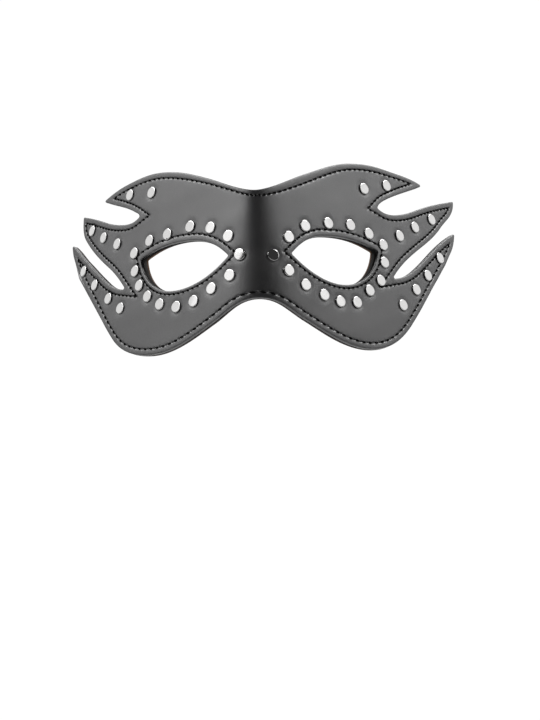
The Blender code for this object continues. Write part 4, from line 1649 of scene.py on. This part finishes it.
@dataclass
class Studio:
    """Floor, backdrop, lights and camera."""

    floor_level: float = -0.27
    backdrop: float = 2.3
    half_width: float = 4.0
    front: float = -3.2
    sweep: float = 0.8
    wall_height: float = 3.4
    arc_rows: int = 24
    columns: int = 9
    lens: float = 111.5
    camera_place: tuple[float, float, float] = (0.00504, -1.2035, -0.0568)
    camera_roll: float = math.radians(-2.0)
    world: float = 0.040
    lights: tuple[Softbox, ...] = (
        Softbox("left_side_high", (-1.05, 0.4, 1.225), (0.0, 0.4, 1.225), (0.9, 0.75), 8.0),
        Softbox("left_side", (-1.05, 0.4, 0.475), (0.0, 0.4, 0.475), (0.9, 0.75), 1.0),
        Softbox("left_front_high", (-1.05, -0.435, 1.225), (0.0, -0.435, 1.225), (0.77, 0.75), 6.0),
        Softbox("left_front", (-1.05, -0.435, 0.525), (0.0, -0.435, 0.525), (0.77, 0.65), 1.3),
        Softbox("right_side_high", (1.05, 0.4, 1.225), (0.0, 0.4, 1.225), (0.9, 0.75), 9.5),
        Softbox("right_side", (1.05, 0.4, 0.475), (0.0, 0.4, 0.475), (0.9, 0.75), 1.05),
        Softbox("right_front_high", (1.05, -0.15, 1.225), (0.0, -0.15, 1.225), (0.2, 0.75), 7.0),
        Softbox("right_front", (1.05, -0.3, 0.5), (0.0, -0.3, 0.5), (0.5, 0.5), 1.2),
        Softbox("rear_softbox", (0.0, 1.7, 1.2), (0.0, 0.05, 0.0), (1.6, 0.8), 1.6),
    )

    def build(self, paper: bpy.types.Material) -> None:
        """Make the stage, the lights, the world and the camera."""
        self.add_sweep(paper)
        for light in self.lights:
            light.build()
        world = bpy.data.worlds.new("dim_room")
        world.use_nodes = True
        shade = world.node_tree.nodes["Background"]
        shade.inputs["Color"].default_value = (1.0, 1.0, 1.0, 1.0)
        shade.inputs["Strength"].default_value = self.world
        bpy.context.scene.world = world
        bpy.context.scene.view_settings.view_transform = "Standard"
        self.add_camera()

    def add_sweep(self, paper: bpy.types.Material) -> None:
        """Make floor and backdrop as one sheet: flat, a quarter circle, and upright."""
        angle = np.linspace(0.0, math.pi / 2, self.arc_rows)
        y = np.concatenate([[self.front], self.backdrop - self.sweep + self.sweep * np.sin(angle),
                            [self.backdrop]])
        z = np.concatenate([[0.0], self.sweep * (1.0 - np.cos(angle)), [self.wall_height]])
        x = np.linspace(-self.half_width, self.half_width, self.columns)
        points = np.stack([np.tile(x, len(y)), np.repeat(y, self.columns),
                           np.repeat(z + self.floor_level, self.columns)], -1)
        quads = strip_faces(len(y), self.columns, False)[:, ::-1]
        mesh = bpy.data.meshes.new("floor")
        mesh.from_pydata(points.tolist(), [], quads.tolist())
        mesh.materials.append(paper)
        mesh.shade_smooth()
        floor = bpy.data.objects.new("floor", mesh)
        bpy.context.scene.collection.objects.link(floor)

    def add_camera(self) -> None:
        """Place the camera at the photograph's angle, level and turned by its roll."""
        camera = bpy.data.cameras.new("camera")
        camera.lens = self.lens
        camera.sensor_width = 36.0
        camera.clip_start, camera.clip_end = 0.05, 20.0
        made = bpy.data.objects.new("camera", camera)
        bpy.context.scene.collection.objects.link(made)
        cos, sin = math.cos(self.camera_roll), math.sin(self.camera_roll)
        turn = Matrix(((cos, -sin, 0.0), (0.0, 0.0, -1.0), (sin, cos, 0.0)))
        made.matrix_world = Matrix.Translation(self.camera_place) @ turn.to_4x4()
        bpy.context.scene.camera = made


def main() -> None:
    """Build the studio and every piece, in order."""
    logging.basicConfig(level=logging.INFO, format="%(name)s %(message)s")
    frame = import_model()
    groups = Groups(grain_group(), dust_group(), yarn_group())
    leather, lining = LeatherFinish().make(groups), LiningFinish().make(groups)
    nickel, thread = NickelFinish().make(groups), ThreadFinish().make(groups)
    elastic = ElasticFinish().make(groups)
    Studio().build(StudioFinish().make())

    pattern, bend = Pattern(), Bend()
    seam = Seam(pattern)
    front = Panel(Sheet(pattern, seam, LEATHER_EYE), bend, "leather_front", "front_panel",
                  Slot.LEATHER, Face.FRONT, 0.0, 1.8 * MM)
    back = Panel(Sheet(pattern, seam, LINING_EYE), bend, "lining_back", "back_panel",
                 Slot.LINING, Face.HEAD, 3.6 * MM, 2.1 * MM, edge_round=0.6 * MM,
                 edge_drop=0.45 * MM, crown=0.05 * MM, groove=0.25 * MM, press=0.12 * MM,
                 pit=0.30 * MM, dimple=0.12 * MM, cap_radius=2.3 * MM)
    front.build(leather)
    back.build(lining)
    Thread(front, "front_stitches", seam.thread).build(thread)
    Thread(back, "back_stitches", 0.28 * MM, arch=0.20 * MM).build(thread)
    rivet_nodes = tuple(sorted(name for name in frame["nodes"] if name.startswith("stud_")))
    Rivets(pattern, bend, rivet_nodes).build(nickel)
    strap = Strap(pattern, bend)
    strap.build(elastic)
    StrapStitches(strap).build(thread)


if __name__ == "__main__":
    main()
